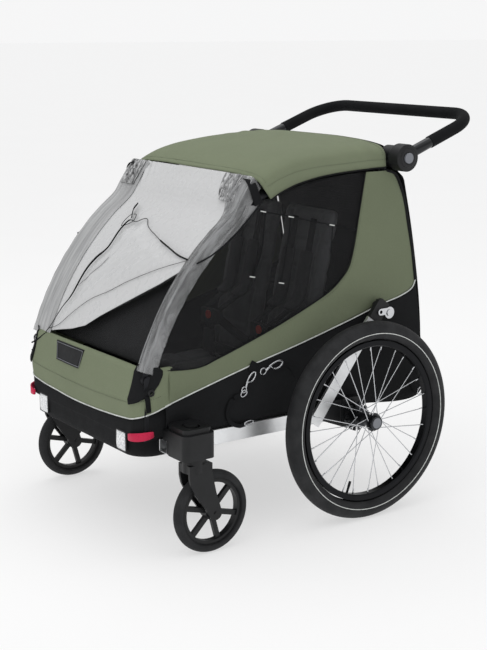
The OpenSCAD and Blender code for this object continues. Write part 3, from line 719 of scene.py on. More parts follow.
def band_at(s, w, lift=0.0):
    """Point of the green front band: s along the plan from the middle, w from its foot (0) to its top (1)."""
    side = 1 if s >= 0 else -1
    a = min(abs(s), BAND_S[-1])
    x, y, nx, ny = [np.interp(a, BAND_S, BAND_P[:, k]) for k in range(4)]
    foot = band_foot(x, y)
    z = foot + (BAND_TOP - foot) * w
    crease = 0.36
    if w < crease:
        out = 0.0006 + 0.0030 * math.sin(w / crease * math.pi / 2)
    else:
        t = (w - crease) / (1 - crease)
        out = 0.0036 - 0.0195 * t * (1 if ny < -0.5 else max(0.10, -ny * 2)) - 0.002 * math.sin(t * math.pi)
    if w > 0.955:
        out -= (w - 0.955) * 0.10
    fade = smooth_step(min(1.0, max(0.0, (y + 0.470) / 0.045)))
    out = out * (1 - fade) + (SKIN_X + 0.0012 - BAND_X) * fade
    out += wobble((x * side, y, z), 14, 0.0018, 5) * (1 - fade) + lift
    return np.array([(x + nx * out) * side, y + ny * out, z])


def band_height(s, z, lift):
    """Point of the band by its height."""
    a = min(abs(s), BAND_S[-1])
    x, y = np.interp(a, BAND_S, BAND_P[:, 0]), np.interp(a, BAND_S, BAND_P[:, 1])
    foot = band_foot(x, y)
    return band_at(s, (z - foot) / (BAND_TOP - foot), lift)


s_end = BAND_S[-1] - 0.001
band_rows = [[band_at(s, w) for s in np.linspace(-s_end, s_end, 150)] for w in np.linspace(0, 1, 30)]
lip = [[band_at(s, 1) + np.array([0, 0.007 * k, -0.0015 * k * k]) * (1 if abs(s) < 0.25 else 0.3)
        for s in np.linspace(-s_end, s_end, 150)] for k in (1, 2, 3)]
band = grid("front_band", band_rows + lip, M["green"], 0.0022)
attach(band, "chassis")
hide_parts("bumper")
cloth_of(band_rows)
stitch_line = [band_at(s, 0.335, 0.0014) for s in np.linspace(-0.32, 0.32, 120)]
band_stitch = stitches("front_band_stitches", stitch_line, (0, -0.0006, 0), M["thread"])
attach(band_stitch, "chassis")
foot_line = [band_at(s, 0.0, 0.0015) for s in np.linspace(-s_end, s_end, 160)]
foot_piping = tube("front_piping", foot_line, 0.0017, M["piping"], 8)
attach(foot_piping, "chassis")

# plain blank patch on the band
patch_rows = []
for v in np.linspace(0, 1, 8):
    w = 0.60 + 0.36 * v
    ends = -0.122 - 0.010 * v, 0.006 - 0.016 * (1 - v)
    patch_rows.append([band_at(x, w, 0.0022) for x in np.linspace(*ends, 14)])
patch = grid("blank_patch", patch_rows, M["dull"], 0.002)
patch_edge = []
for x, dx, w, dw, steps in ((-0.118, 0.112, 0.63, 0, np.linspace(0, 1, 12)),
                            (-0.006, 0.008, 0.63, 0.30, np.linspace(0.1, 1, 8)),
                            (0.002, -0.130, 0.93, 0, np.linspace(0.08, 1, 12)),
                            (-0.128, 0.010, 0.93, -0.30, np.linspace(0.1, 0.9, 8))):
    patch_edge += [band_at(x + dx * t, w + dw * t, 0.0036) for t in steps]
edge = tube("blank_patch_rim", patch_edge, 0.0007, M["grey"], 6, closed=True)
patch = join("blank_patch", [patch, edge])
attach(patch, "chassis")

# black caps over the lower ends of the front pillars
for side_name, side in SIDES:
    rows = []
    low_edge = np.array([(0.2405, 0.372), (0.2435, 0.360), (0.262, 0.366), (0.285, 0.380), (0.300, 0.392),
                         (0.314, 0.410), (0.3235, 0.4275)])
    for v in np.linspace(0, 1, 12):
        row = []
        for u in np.linspace(0, 1, 30):
            s = 0.2405 + (0.3235 - 0.2405) * u
            low = float(np.interp(s, *low_edge.T))
            s_top = 0.2475 + (0.3235 - 0.2475) * u
            z = low + (0.4425 - 0.004 * u - low) * v
            row.append(band_height(s + (s_top - s) * v, z, 0.0030 + 0.0012 * math.sin(u * math.pi)))
        rows.append(row)
    top = rows[-1]
    for share, rise in ((0.16, 0.006), (0.42, 0.010)):
        rows.append([p + np.array([(0.262 - p[0]) * share, (-0.484 - p[1]) * share, rise]) for p in top])
    cap = grid(f"corner_cap_{side_name}", flip(rows, side), M["black"], 0.002)
    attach(cap, "chassis")

# reflectors in clipped frames, and the red loops round the corners
made = []
for side in (1, -1):
    for cx, cy, cz, w, h, face in ((0.196, -0.5055, 0.2615, 0.040, 0.043, -1),
                                   (0.228, 0.3445, 0.302, 0.044, 0.038, 1)):
        lens = []
        for v in np.linspace(-0.5, 0.5, 9):
            lens.append([(side * (cx + u * w),
                          cy + face * (0.0042 - 0.006 * (abs(u) ** 4 + abs(v) ** 4) * 2),
                          cz + v * h) for u in np.linspace(-0.5, 0.5, 9)])
        made.append(grid("lens", lens, M["reflector"], 0.0015))
        clipped = spline([(-1, -0.8), (-0.8, -1), (0.8, -1), (1, -0.8),
                          (1, 0.8), (0.8, 1), (-0.8, 1), (-1, 0.8)], 60, closed=True)[:-1]
        rim = [(side * (cx + a * w * 0.53), cy + face * 0.0018, cz + b * h * 0.53) for a, b in clipped]
        made.append(tube("rim", rim, 0.0021, M["plastic"], 8, closed=True))
reflectors = join("reflector_set", made)
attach(reflectors, "chassis")
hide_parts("reflectors")

loops = []
tray_plan = plan(0.2797, -0.5085, 0.2, 0.043, n=21)
for side in (1, -1):
    path, widths = [], []
    corner = even([p for p in tray_plan if p[0] > 0.225 and p[1] < -0.470], 26)
    for i, (x, y, nx, ny) in enumerate(corner):
        q = i / 25
        out = 0.0035 + 0.006 * math.sin(q * math.pi) ** 0.7
        path.append((side * (x + nx * out), y + ny * out, 0.281 + 0.010 * q))
        widths.append(0.62 + 0.38 * math.sin(q * math.pi) ** 0.5)
    loops.append(strap("loop", path, (0, 0, 1), 0.020, 0.0035, M["red_loop"], taper=widths))
loops = join("red_loops", loops)
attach(loops, "chassis")
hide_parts("red_tab")

# ---------------------------------------------------------------- side fabrics


# the same number of points on both lines keeps the threads running up the panel
PANEL_LOW = TRIM + [(0.306, 0.645), (0.284, 0.740), (0.243, 0.842), (0.212, 0.853)]
PANEL_HIGH = [(-0.430, 0.4345), (-0.351, 0.430), (-0.290, 0.445), (-0.204, 0.472), (-0.090, 0.512),
              (0.010, 0.553), (0.058, 0.580), (0.084, 0.604), (0.100, 0.628), (0.112, 0.668), (0.125, 0.736),
              (0.138, 0.806), (0.146, 0.853)]


def knots(curve, nu):
    """Points with the same share of the sheet between each pair of knots, on a smooth line."""
    fine = spline(curve, 400)
    cuts = [int(np.argmin(np.hypot(fine[:, 0] - y, fine[:, 1] - z))) for y, z in curve]
    k = nu // (len(curve) - 1)
    out = []
    for first, last in zip(cuts, cuts[1:]):
        out += list(even(fine[first:last + 1], k + 1)[:-1])
    return np.array(out + [fine[cuts[-1]]])


def knotted(name, low, high, nu, nv, side_x, mat, thick=0.0018):
    """Side sheet between two lines of the side view; side_x gives x at a share up the sheet, y and z."""
    a, b = knots(low, nu), knots(high, nu)
    rows = [[(side_x(v, y, z), y, z) for y, z in a * (1 - v) + b * v] for v in np.linspace(0, 1, nv)]
    o = grid(name, rows, mat, thick)
    CLOTHS.append((o, rows))
    return o


CLOTHS = []
LOWER_LOW = [(-0.440, 0.296), (-0.400, 0.279), (-0.300, 0.2765), (-0.150, 0.2765), (0.000, 0.2765),
             (0.125, 0.2765), (0.165, 0.262), (0.343, 0.2615), (0.3445, 0.404)]
LOWER_HIGH = [(-0.440, 0.3515)] + TRIM[1:]
for side_name, side in SIDES:
    seed = 7 if side > 0 else 11

    def panel_x(v, y, z):
        edge = math.sin(math.pi * min(1, max(0, v))) ** 0.6
        bulge = 0.003 * edge + wobble((0, y, z), 11, 0.003, seed) * edge
        dent = -0.006 * math.exp(-(((y - 0.11) / 0.06) ** 2 + ((z - 0.53) / 0.035) ** 2))
        near = math.exp(-(((y - 0.27) / 0.08) ** 2 + ((z - 0.80) / 0.06) ** 2))
        pull = 0.0016 * math.sin((y * 0.8 + z * 0.6) * 95) * near
        return side * (SKIN_X + bulge + dent + pull)

    def lower_x(v, y, z):
        edge = math.sin(math.pi * min(1, max(0, v)))
        out = 0.0022 * edge + wobble((0, y, z), 10, 0.004, seed + 3) * edge
        fold = 0.0022 * math.sin((z * 0.9 - y * 0.35) * 75) * edge * math.exp(-((y + 0.30) / 0.10) ** 2)
        return side * (SKIN_X + 0.001 + out + fold)

    # the side panels take the green with painted shade
    panel = knotted(f"side_panel_{side_name}", PANEL_LOW, PANEL_HIGH, 132, 22, panel_x, M["green_side"])
    lower = knotted(f"lower_skin_{side_name}", LOWER_LOW, LOWER_HIGH, 120, 20, lower_x, M["black"])
    rim_line = spline([(SKIN_X * side + 0.0012 * side, y, z) for y, z in WINDOW], 120)
    window_rim = tube(f"window_binding_{side_name}", rim_line, 0.0016, M["black"], 6)
    trim_line = spline([((SKIN_X + 0.0026) * side, y, z) for y, z in [(-0.441, 0.3513)] + TRIM], 120)
    piping = tube(f"side_piping_{side_name}", trim_line, 0.0016, M["piping"], 8)
    rear_line = spline([((SKIN_X + 0.0006) * side, y, z) for y, z in REAR_EDGE], 80)
    rear_rim = tube(f"rear_binding_{side_name}", rear_line, 0.0042, M["black"], 8)
    inner = [(y + 0.006, z - 0.005) for y, z in WINDOW[4:]]
    sew = stitches(f"panel_stitches_{side_name}", spline([(SKIN_X * side, y, z) for y, z in inner], 100),
                   (0.0016 * side, 0, 0), M["thread"])
    for o, slot in ((panel, "green_fabric"), (lower, "tub_fabric"), (window_rim, "tub_fabric"),
                    (piping, "reflector"), (rear_rim, "tub_fabric"), (sew, "green_fabric")):
        fan(o)
    if side > 0:
        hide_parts("side_panels")
        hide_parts("lower_sides")

    # window mesh, from its lower edge up to the pillar and the skirt
    inner_r = BAR_R - 0.010
    arc = [(ARC_Y + inner_r * math.cos(math.radians(a)), ARC_Z + inner_r * math.sin(math.radians(a)))
           for a in (160.5, 154, 147, 140, 133, 126)]
    high = arc + [(-0.165, 0.800), (-0.120, 0.815), (-0.075, 0.829), (-0.010, 0.842), (0.050, 0.848),
                  (0.100, 0.851), (0.146, 0.853)]

    def window_x(v, y, z):
        edge = math.sin(math.pi * v)
        return side * (SKIN_X - 0.001 - 0.004 * edge + wobble((0, y, z), 8, 0.004, seed + 5) * edge)

    pane = knotted(f"side_window_{side_name}", WINDOW, high, 120, 24, window_x, M["window"], 0.0008)
    fan(pane)
    if side > 0:
        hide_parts("side_windows")

    # sewn lines and short reflective dashes on the mesh
    lines = []
    for seam in ([(-0.163, 0.779), (-0.081, 0.760), (0.044, 0.730), (0.124, 0.710)],
                 [(-0.155, 0.777), (-0.165, 0.690), (-0.190, 0.626)],
                 [(-0.078, 0.759), (-0.092, 0.68), (-0.109, 0.603)],
                 [(0.048, 0.729), (0.043, 0.66)]):
        p = spline([((SKIN_X - 0.0022) * side, y, z) for y, z in seam], 40)
        lines.append(strap("seam", p, (0, 0.5, 0.5), 0.003, 0.0008, M["black"]))
    d = np.array([0, 0.97, -0.22])
    for y, z in ((-0.163, 0.779), (-0.081, 0.760), (0.044, 0.730), (-0.194, 0.627), (-0.109, 0.603)):
        c = np.array([(SKIN_X + 0.0002) * side, y, z])
        dash = [c - d * 0.008, c, c + d * 0.008]
        lines.append(strap("dash", dash, (0, 0.22, 0.97), 0.0028, 0.0012, M["piping"]))
    seams = join(f"window_seams_{side_name}", lines)
    fan(seams)

for o, rows in CLOTHS:
    side_name = o.name.rsplit("_", 1)[1]
    cloth_of(rows)

# ---------------------------------------------------------------- canopy


ROOF_FINE = spline(ROOF, 200)
SKIRT_FINE = spline(SKIRT, 200)


def canopy_at(u, t, lift=0.0):
    """u from the front edge to the rear, t from one skirt (-1) over the top to the other (1)."""
    a = abs(t) * math.pi / 2
    power = 2 / (8.5 - 3.6 * min(1.0, u * 1.6))
    fx, fz = math.sin(a) ** power, math.cos(a) ** power
    w = 1 - fz
    y = (-0.176 + 0.034 * w ** 1.5) * (1 - u) + (0.208 + 0.002 * w) * u
    top = float(np.interp(y, *ROOF_FINE.T))
    low = float(np.interp(max(y, SKIRT[0][0]), *SKIRT_FINE.T))
    x = 0.2822 * fx * math.copysign(1, t)
    z = low + (top - low) * fz - 0.005 * (fx ** 2) * fz
    z += wobble((x, y, z), 7, 0.0035, 2) * fz
    if u < 0.06:
        z -= (0.06 - u) * 0.05 * fz
    n = Vector((math.sin(a) ** 2 * math.copysign(1, t), 0, math.cos(a) ** 0.5 + 0.01)).normalized()
    near = math.exp(-(((abs(x) - 0.24) / 0.05) ** 2 + ((y - 0.17) / 0.07) ** 2))
    pull = 0.0022 * math.sin(x * 60 + y * 110) * near
    return np.array([x, y, z]) + np.array(n) * (lift + pull)


canopy_rows = [[canopy_at(u, t) for t in np.linspace(-1, 1, 97)] for u in np.linspace(0, 1, 64)]
canopy = grid("canopy_cloth", canopy_rows, M["green"], 0.002)
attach(canopy, "roof_frame")
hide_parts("canopy")
cloth_of(canopy_rows)
hems = []
for t in (-1, 1):
    line = [canopy_at(u, t, 0.0006) + np.array([0, 0, -0.001]) for u in np.linspace(0, 1, 60)]
    hems.append(tube("hem", line, 0.0021, M["black"], 6))
for t in (-0.965, 0.965):
    line = [canopy_at(u, t, 0.0014) for u in np.linspace(0.03, 1, 80)]
    hems.append(stitches("sew", line, (0, 0, 0), M["thread"]))
for u in (0.030, 0.975):
    line = [canopy_at(u, t, 0.0014) for t in np.linspace(-0.93, 0.93, 120)]
    hems.append(stitches("sew", line, (0, 0, 0), M["thread"]))
hem = join("canopy_hem", hems)
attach(hem, "roof_frame")

# ---------------------------------------------------------------- rear panel

REAR = [(0.203, 0.9245), (0.222, 0.924), (0.240, 0.915), (0.2555, 0.893), (0.268, 0.850), (0.282, 0.792),
        (0.2975, 0.727), (0.315, 0.640), (0.331, 0.545), (0.340, 0.470), (0.3445, 0.404), (0.3455, 0.335),
        (0.3445, 0.270)]
REAR_FINE = spline(REAR, 72)
# half widths above and below the shoulder, where the panel takes the tub's width
REAR_NARROW, REAR_WIDE = 0.245, 0.2797


def rear_y(z):
    """Depth of the rear panel's middle line at a height."""
    return float(np.interp(-z, -REAR_FINE[:, 1], REAR_FINE[:, 0]))


rear_rows = []
for y, z in REAR_FINE:
    edge = smooth_step(min(1.0, max(0.0, (0.862 - z) / 0.035)))
    half = REAR_NARROW + (REAR_WIDE - REAR_NARROW) * edge
    row = []
    for t in np.linspace(-1, 1, 60):
        sag = 0.010 * (1 - t * t) * math.exp(-((z - 0.62) / 0.16) ** 2)
        sag += wobble((t * 0.3, y, z), 9, 0.006, 21) * (1 - t ** 4)
        drop = -0.010 * abs(t) ** 4 if z > 0.88 else 0
        bow = 0.004 * (1 - abs(t) ** 6) if z < 0.86 else 0
        row.append((half * t, y + bow * 0.5 - sag * 0.35, z + drop))
    rear_rows.append(row)
rear = grid("rear_skin", rear_rows, M["black"], 0.002)
fan(rear)
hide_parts("rear_panel")
cloth_of(rear_rows)

# flap with two buckled straps over the luggage opening, and a mesh pocket below it
extra = []
flap_rows = []
for v in np.linspace(0, 1, 20):
    z = 0.80 - 0.30 * v
    y = REAR_FINE[np.argmin(np.abs(REAR_FINE[:, 1] - z)), 0]
    flap_rows.append([(x, y + 0.004 + 0.003 * math.cos(x * 9) + wobble((x, y, z), 12, 0.003, 31), z)
                      for x in np.linspace(-0.235, 0.235, 40)])
extra.append(grid("flap", flap_rows, M["black"], 0.002))
extra.append(tube("flap_edge", [(r[0], r[1] + 0.0012, r[2]) for r in flap_rows[-1]], 0.0022, M["webbing"], 6))
for x in (-0.13, 0.13):
    line = [(x, rear_y(z) + 0.0105, z) for z in np.linspace(0.62, 0.36, 24)]
    extra.append(strap("tie", line, (1, 0, 0), 0.024, 0.0018))
    clip_z = 0.47
    clip_y = rear_y(clip_z) + 0.013
    body = [[(x + a * 0.017 * (1 - 0.15 * abs(b)), clip_y + 0.004 * (1 - a * a), clip_z + b * 0.024)
             for a in np.linspace(-1, 1, 9)] for b in np.linspace(-1, 1, 9)]
    extra.append(grid("clip", body, M["plastic"], 0.005))
pocket = []
for v in np.linspace(0, 1, 14):
    z = 0.44 - 0.13 * v
    pocket.append([(x, 0.3475 + 0.006 * math.sin(v * math.pi) * (1 - (x / 0.2) ** 4), z)
                   for x in np.linspace(-0.2, 0.2, 30)])
extra.append(grid("pocket", pocket, M["screen"], 0.001))
extra.append(tube("pocket_edge", [(p[0], p[1] + 0.001, p[2]) for p in pocket[0]], 0.0026, M["webbing"], 6))
rear_extra = join("rear_flap", extra)
fan(rear_extra)

# ---------------------------------------------------------------- front screen and rain cover


SCREEN_R, SCREEN_LOW, SCREEN_HIGH = 0.6752, 160.4, 123.2


def screen_at(x, angle):
    """Point of the inner front screen: across, and degrees round the pillars' arc."""
    swell = math.sin((SCREEN_LOW - angle) / (SCREEN_LOW - SCREEN_HIGH) * math.pi)
    r = SCREEN_R + (0.0022 * math.cos(x / 0.25 * 1.5) * swell + wobble((x, angle / 60, 0), 6, 0.002, 41))
    a = math.radians(angle)
    return np.array([x, ARC_Y + r * math.cos(a), ARC_Z + r * math.sin(a)])


screen_rows = [[screen_at(x, angle) for x in np.linspace(-0.2485, 0.2485, 60)]
               for angle in np.linspace(SCREEN_LOW, SCREEN_HIGH, 50)]
screen = grid("front_screen", screen_rows, M["screen"], 0.0012)
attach(screen, "roof_frame")
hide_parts("front_mesh")
cloth_of(screen_rows)

# front views are (x, z): the cover's lower edge, the bound edge of its loose flap, and the flap's seam
DIAGONAL = [(-0.262, 0.404), (-0.235, 0.424), (-0.205, 0.446), (-0.148, 0.459), (-0.095, 0.470),
            (-0.037, 0.488), (0.013, 0.518), (0.110, 0.571), (0.195, 0.619), (0.262, 0.665)]
EDGE = [(-0.262, 0.405), (-0.225, 0.425), (-0.189, 0.455), (-0.159, 0.509), (-0.137, 0.544), (-0.128, 0.601),
        (-0.114, 0.631), (-0.090, 0.660), (-0.092, 0.700), (-0.084, 0.722), (-0.052, 0.722), (-0.030, 0.731),
        (-0.012, 0.731), (0.009, 0.720), (0.036, 0.712), (0.065, 0.706), (0.105, 0.697), (0.149, 0.689),
        (0.207, 0.679), (0.256, 0.675)]
SEAM = [(-0.200, 0.452), (-0.155, 0.469), (-0.105, 0.509), (-0.051, 0.546), (0.012, 0.574), (0.073, 0.606),
        (0.164, 0.645), (0.240, 0.671), (0.256, 0.675)]
edge_line = spline(EDGE, 220)
seam_line = spline(SEAM, 160)
flap_outline = np.vstack([edge_line, seam_line[::-1]])


def inside_flap(x, z):
    """How deep a point of the cover lies inside the loose flap, in metres, and 0 outside it."""
    crosses = (flap_outline[:, 1] > z) != (np.roll(flap_outline, -1, 0)[:, 1] > z)
    a, b = flap_outline[crosses], np.roll(flap_outline, -1, 0)[crosses]
    at = a[:, 0] + (z - a[:, 1]) / (b[:, 1] - a[:, 1]) * (b[:, 0] - a[:, 0])
    if (at > x).sum() % 2 == 0:
        return 0.0
    return float(np.hypot(flap_outline[:, 0] - x, flap_outline[:, 1] - z).min())


def creases(x, z):
    """Soft folds that run up from the lower left, as in a film held at one side."""
    u = x * 0.72 + z * 0.69
    v = -x * 0.69 + z * 0.72
    a = noise.noise(Vector((u * 9, v * 52, 1.3)))
    b = noise.noise(Vector((u * 22, v * 95, 4.1)))
    return 1 - abs(a) * 1.6 - abs(b) * 0.7


cover_rows = []
for v in np.linspace(0, 1, 96):
    row = []
    for x in np.linspace(-0.2615, 0.262, 130):
        low = float(np.interp(x, *np.array(DIAGONAL).T))
        z = low + (0.8605 - low) * v
        depth = inside_flap(x, z)
        lift = 0.0014 * math.cos(x / 0.262 * 1.45) * (1 + math.sin(v * math.pi))
        lift += wobble((x, z, 0), 5, 0.0022, 9)
        if depth > 0:
            m = min(1.0, depth / 0.030)
            lift += m * (0.0035 + 0.0048 * creases(x, z))
        fold = math.exp(-((z - 0.84) / 0.03) ** 2) * math.exp(-((x + 0.22) / 0.05) ** 2)
        lift += 0.004 * fold * math.sin(x * 260 + z * 120)
        row.append(front_at(x, z, lift))
    cover_rows.append(row)
cover = grid("rain_cover", cover_rows, M["vinyl"], 0.0009)
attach(cover, "roof_frame")
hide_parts("front_cover")
cloth_of(cover_rows)

weights = []
for x, z in edge_line:
    bold = math.exp(-((x + 0.112) / 0.030) ** 2)
    weights.append(0.45 + 0.75 * bold + (0.55 if x > 0.10 else 0) + (0.5 if x < -0.205 else 0))
bound = [front_at(x, z, 0.0095 if -0.20 < x < 0.18 else 0.0065) for x, z in edge_line]
bits = [tube("edge", bound, 0.0021, M["black"], 8, taper=weights)]
bits.append(tube("seam", [front_at(x, z, 0.0052) for x, z in seam_line], 0.0006, M["dull"], 6))
pull = spline([(-0.080, 0.727), (-0.092, 0.735), (-0.107, 0.745), (-0.112, 0.757)], 14)
pull_taper = [0.5, 0.7, 0.9] + [1.0] * 8 + [0.9, 0.7, 0.5]
bits.append(strap("pull", [front_at(x, z, 0.011) for x, z in pull], (0.5, 0, 0.8), 0.0075, 0.002, M["black"],
                  taper=pull_taper))
loop = spline([(-0.094, 0.735), (-0.101, 0.722), (-0.098, 0.708), (-0.080, 0.712), (-0.064, 0.722),
               (-0.072, 0.735), (-0.084, 0.735)], 40)
bits.append(tube("loop", [front_at(x, z, 0.0105) for x, z in loop], 0.0008, M["black"], 6))
crease = spline([(-0.128, 0.565), (-0.105, 0.585), (-0.094, 0.600), (-0.070, 0.622), (-0.060, 0.640)], 30)
bits.append(tube("crease", [front_at(x, z, 0.0095) for x, z in crease], 0.0005, M["dull"], 5))
cover_trim = join("cover_binding", bits)
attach(cover_trim, "roof_frame")

# a film sleeve round each pillar, wider and gathered under the roof
trimmings = []
SLEEVE_LOW, SLEEVE_HIGH = 0.436, 0.858
FILM_BACK = spline([(-0.352, 0.675), (-0.325, 0.684), (-0.290, 0.701), (-0.250, 0.729), (-0.215, 0.759),
                    (-0.177, 0.795)], 40)
for side_name, side in SIDES:
    rows = []
    for v in np.linspace(0, 1, 90):
        z = SLEEVE_LOW + (SLEEVE_HIGH - SLEEVE_LOW) * v
        row = []
        top = max(0.0, (v - 0.74) / 0.26)
        inner = (0.2475 - 0.088 * top ** 1.4 + 0.02 * top ** 4) if side > 0 else 0.187
        for u in np.linspace(0, 1, 46):
            if u < 0.62:
                t = u / 0.62
                x = inner + (0.274 - inner) * t
                lift = 0.004 + 0.0035 * math.sin(t * math.pi) if side > 0 else 0.0035
                gathered = noise.noise(Vector((t * 7, v * 38, side * 3))) + 0.2
                if side > 0:
                    ridge = 0.0016 * math.sin(t * 19 + v * 5 + 2 * math.sin(v * 9)) + 0.004 * top * gathered
                else:
                    ridge = 0.0005 * math.sin(t * 9) + 0.003 * top * gathered
                p = front_at(x, z, lift + ridge)
            else:
                t = (u - 0.62) / 0.38
                swing = t * math.pi / 2
                base = front_at(0.274, z, 0.004)
                inward = np.array([0, -(base[1] - ARC_Y), -(base[2] - ARC_Z)])
                inward /= np.linalg.norm(inward)
                reach = 0.030 if side > 0 else 0.022
                p = base + np.array([0.0078 * math.sin(swing), 0, 0]) + inward * (reach * t * t)
                p[0] += 0.0008 * math.sin(v * 60 + t * 4)
            row.append((p[0] * side, p[1], p[2]))
        rows.append(row)
    sleeve = grid(f"pillar_sleeve_{side_name}", rows, M["sleeve"] if side > 0 else M["vinyl_thin"], 0.0008)
    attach(sleeve, "roof_frame")
    cloth_of(rows)

    # film drawn back along the side under the roof corner, with its bound edge
    side_rows = []
    for v, tail in zip(np.linspace(0, 1, len(FILM_BACK)), FILM_BACK):
        head = front_at(0, 0.675 + (0.8035 - 0.675) * v, -0.012)
        row = []
        for u in np.linspace(0, 1, 16):
            x = 0.2832 + 0.0014 * math.sin(u * 8 + v * 11) * math.sin(u * math.pi)
            row.append((side * x, *(head[1:] * (1 - u) + tail * u)))
        side_rows.append(row)
    wrap = grid(f"side_film_{side_name}", side_rows, M["sleeve"], 0.0008)
    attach(wrap, "roof_frame")
    cloth_of(side_rows)
    line = [(side * 0.2845, y, z) for y, z in FILM_BACK]
    trimmings.append(tube("edge", line, 0.0019, M["black"], 8))
    # strap from the roof corner over the pillar
    over = spline([(0.252, -0.190, 0.857), (0.268, -0.1935, 0.853), (0.2815, -0.194, 0.840),
                   (0.2868, -0.190, 0.822), (0.2868, -0.181, 0.797)], 24)
    trimmings.append(strap("over", flip(over, side), (0.25 * side, 0.9, 0.15), 0.020, 0.0016))
    # short strip and ring at the lower corner
    foot = [(0.2838, -0.489, 0.384), (0.2845, -0.487, 0.368), (0.2842, -0.485, 0.344)]
    trimmings.append(strap("foot", flip(foot, side), (0, 1, 0), 0.013, 0.002))
    ring = [(side * 0.2868, -0.479 + 0.0062 * math.cos(a), 0.390 + 0.0062 * math.sin(a)) for a in turn(24)]
    trimmings.append(tube("ring", ring, 0.0022, M["plastic"], 8, closed=True))
for side in (1, -1):
    gathers = []
    for v in np.linspace(0, 1, 40):
        row = []
        for u in np.linspace(0, 1, 44):
            x = (0.200 + 0.066 * u) if side < 0 else (0.166 + 0.090 * u + 0.03 * (1 - v) ** 2 * (1 - u))
            z = 0.800 + 0.058 * v
            fold = noise.noise(Vector((u * 9 + v * 3, v * 6 - u * 4, 7.7 * side)))
            fold += 0.5 * noise.noise(Vector((u * 26, v * 15, 2.2)))
            rim = math.sin(math.pi * u) ** 0.5 * math.sin(math.pi * min(1, v * 0.9 + 0.08)) ** 0.5
            p = front_at(x, z, 0.0075 + 0.0058 * fold * rim)
            row.append((p[0] * side, p[1], p[2]))
        gathers.append(row)
    # gathered film under the roof corners, with painted shade and highlights in its creases
    trimmings.append(grid("gather", gathers, M["crumple"], 0.0008))
trim = join("cover_trimmings", trimmings)
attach(trim, "roof_frame")

# ---------------------------------------------------------------- seat


def pad(name, size, place, channels, pressure=3.5, reach=0.006, corner=0.016):
    """Stuffed pad: a rounded slab, blown up as cloth, with sewn channels pressed in afterwards.

    Each channel is (axis it crosses, where, depth, width). reach is the furthest that the cloth may move."""
    w, l, t = size
    outline = []
    for cx, cy, start in ((w / 2 - corner, l / 2 - corner, 0), (-w / 2 + corner, l / 2 - corner, 90),
                          (-w / 2 + corner, -l / 2 + corner, 180), (w / 2 - corner, -l / 2 + corner, 270)):
        for a in np.radians(np.linspace(start, start + 90, 6)):
            outline.append((cx + corner * math.cos(a), cy + corner * math.sin(a)))
    ring = even(outline + outline[:1], 85)[:-1]
    levels = [(-0.5, 0.965), (-0.42, 0.992), (-0.2, 1.0), (0.2, 1.0), (0.42, 0.992), (0.5, 0.965)]
    verts = [(x * s, y * s, h * t) for h, s in levels for x, y in ring]
    faces = quads(len(levels), len(ring)) + caps(len(levels), len(ring))
    o = from_mesh(name, verts, faces, M["seat"])
    r = o.modifiers.new("remesh", "REMESH")
    r.mode, r.voxel_size, r.use_smooth_shade = "VOXEL", 0.0052, True
    bake(o)
    start = np.array([v.co for v in o.data.vertices])
    c = o.modifiers.new("cloth", "CLOTH")
    c.settings.use_pressure, c.settings.uniform_pressure_force = True, pressure
    c.settings.effector_weights.gravity = 0
    c.settings.quality = 4
    c.settings.tension_stiffness = c.settings.compression_stiffness = 12
    for f in range(1, 21):
        scene.frame_set(f)
    dg = bpy.context.evaluated_depsgraph_get()
    me = bpy.data.meshes.new_from_object(o.evaluated_get(dg))
    end = np.array([v.co for v in me.vertices])
    move = end - start
    far = np.linalg.norm(move, axis=1)
    move *= np.minimum(1, reach / np.maximum(far, 1e-9))[:, None]
    o.modifiers.clear()
    o.data.vertices.foreach_set("co", (start + move).ravel())
    bpy.data.meshes.remove(me)
    scene.frame_set(1)
    co = np.array([v.co for v in o.data.vertices])
    for axis, at, depth, width in channels:
        near = np.exp(-((co[:, axis] - at) / width) ** 2)
        co[:, 2] -= np.sign(co[:, 2]) * depth * near * np.clip(np.abs(co[:, 2]) / (t / 2), 0, 1)
    co[:, 2] += np.array([0.0016 * noise.noise(Vector((x * 22, y * 22, z * 9))) for x, y, z in co])
    o.data.vertices.foreach_set("co", np.array([place(*p) for p in co]).ravel())
    s = o.modifiers.new("sub", "SUBSURF")
    s.levels = s.render_levels = 1
    bake(o)
    for p in o.data.polygons:
        p.use_smooth = True
    return o


# the backrests' lean, the foot they fold about, the direction up along them, and how far their back lies
# behind the foot
LEAN = math.radians(12)
BACK_FOOT = (0, 0.014, 0.340)
BACK_DEPTH = 0.014


def on_back(x, up, out):
    """Point on the leaning backrest: across, up along it, and out of it towards the child."""
    deep = BACK_DEPTH - out
    return (x, BACK_FOOT[1] + up * math.sin(LEAN) + deep * math.cos(LEAN),
            BACK_FOOT[2] + up * math.cos(LEAN) - deep * math.sin(LEAN))


def on_seat(x, y, z):
    return (x, -0.092 + y, 0.316 + z)


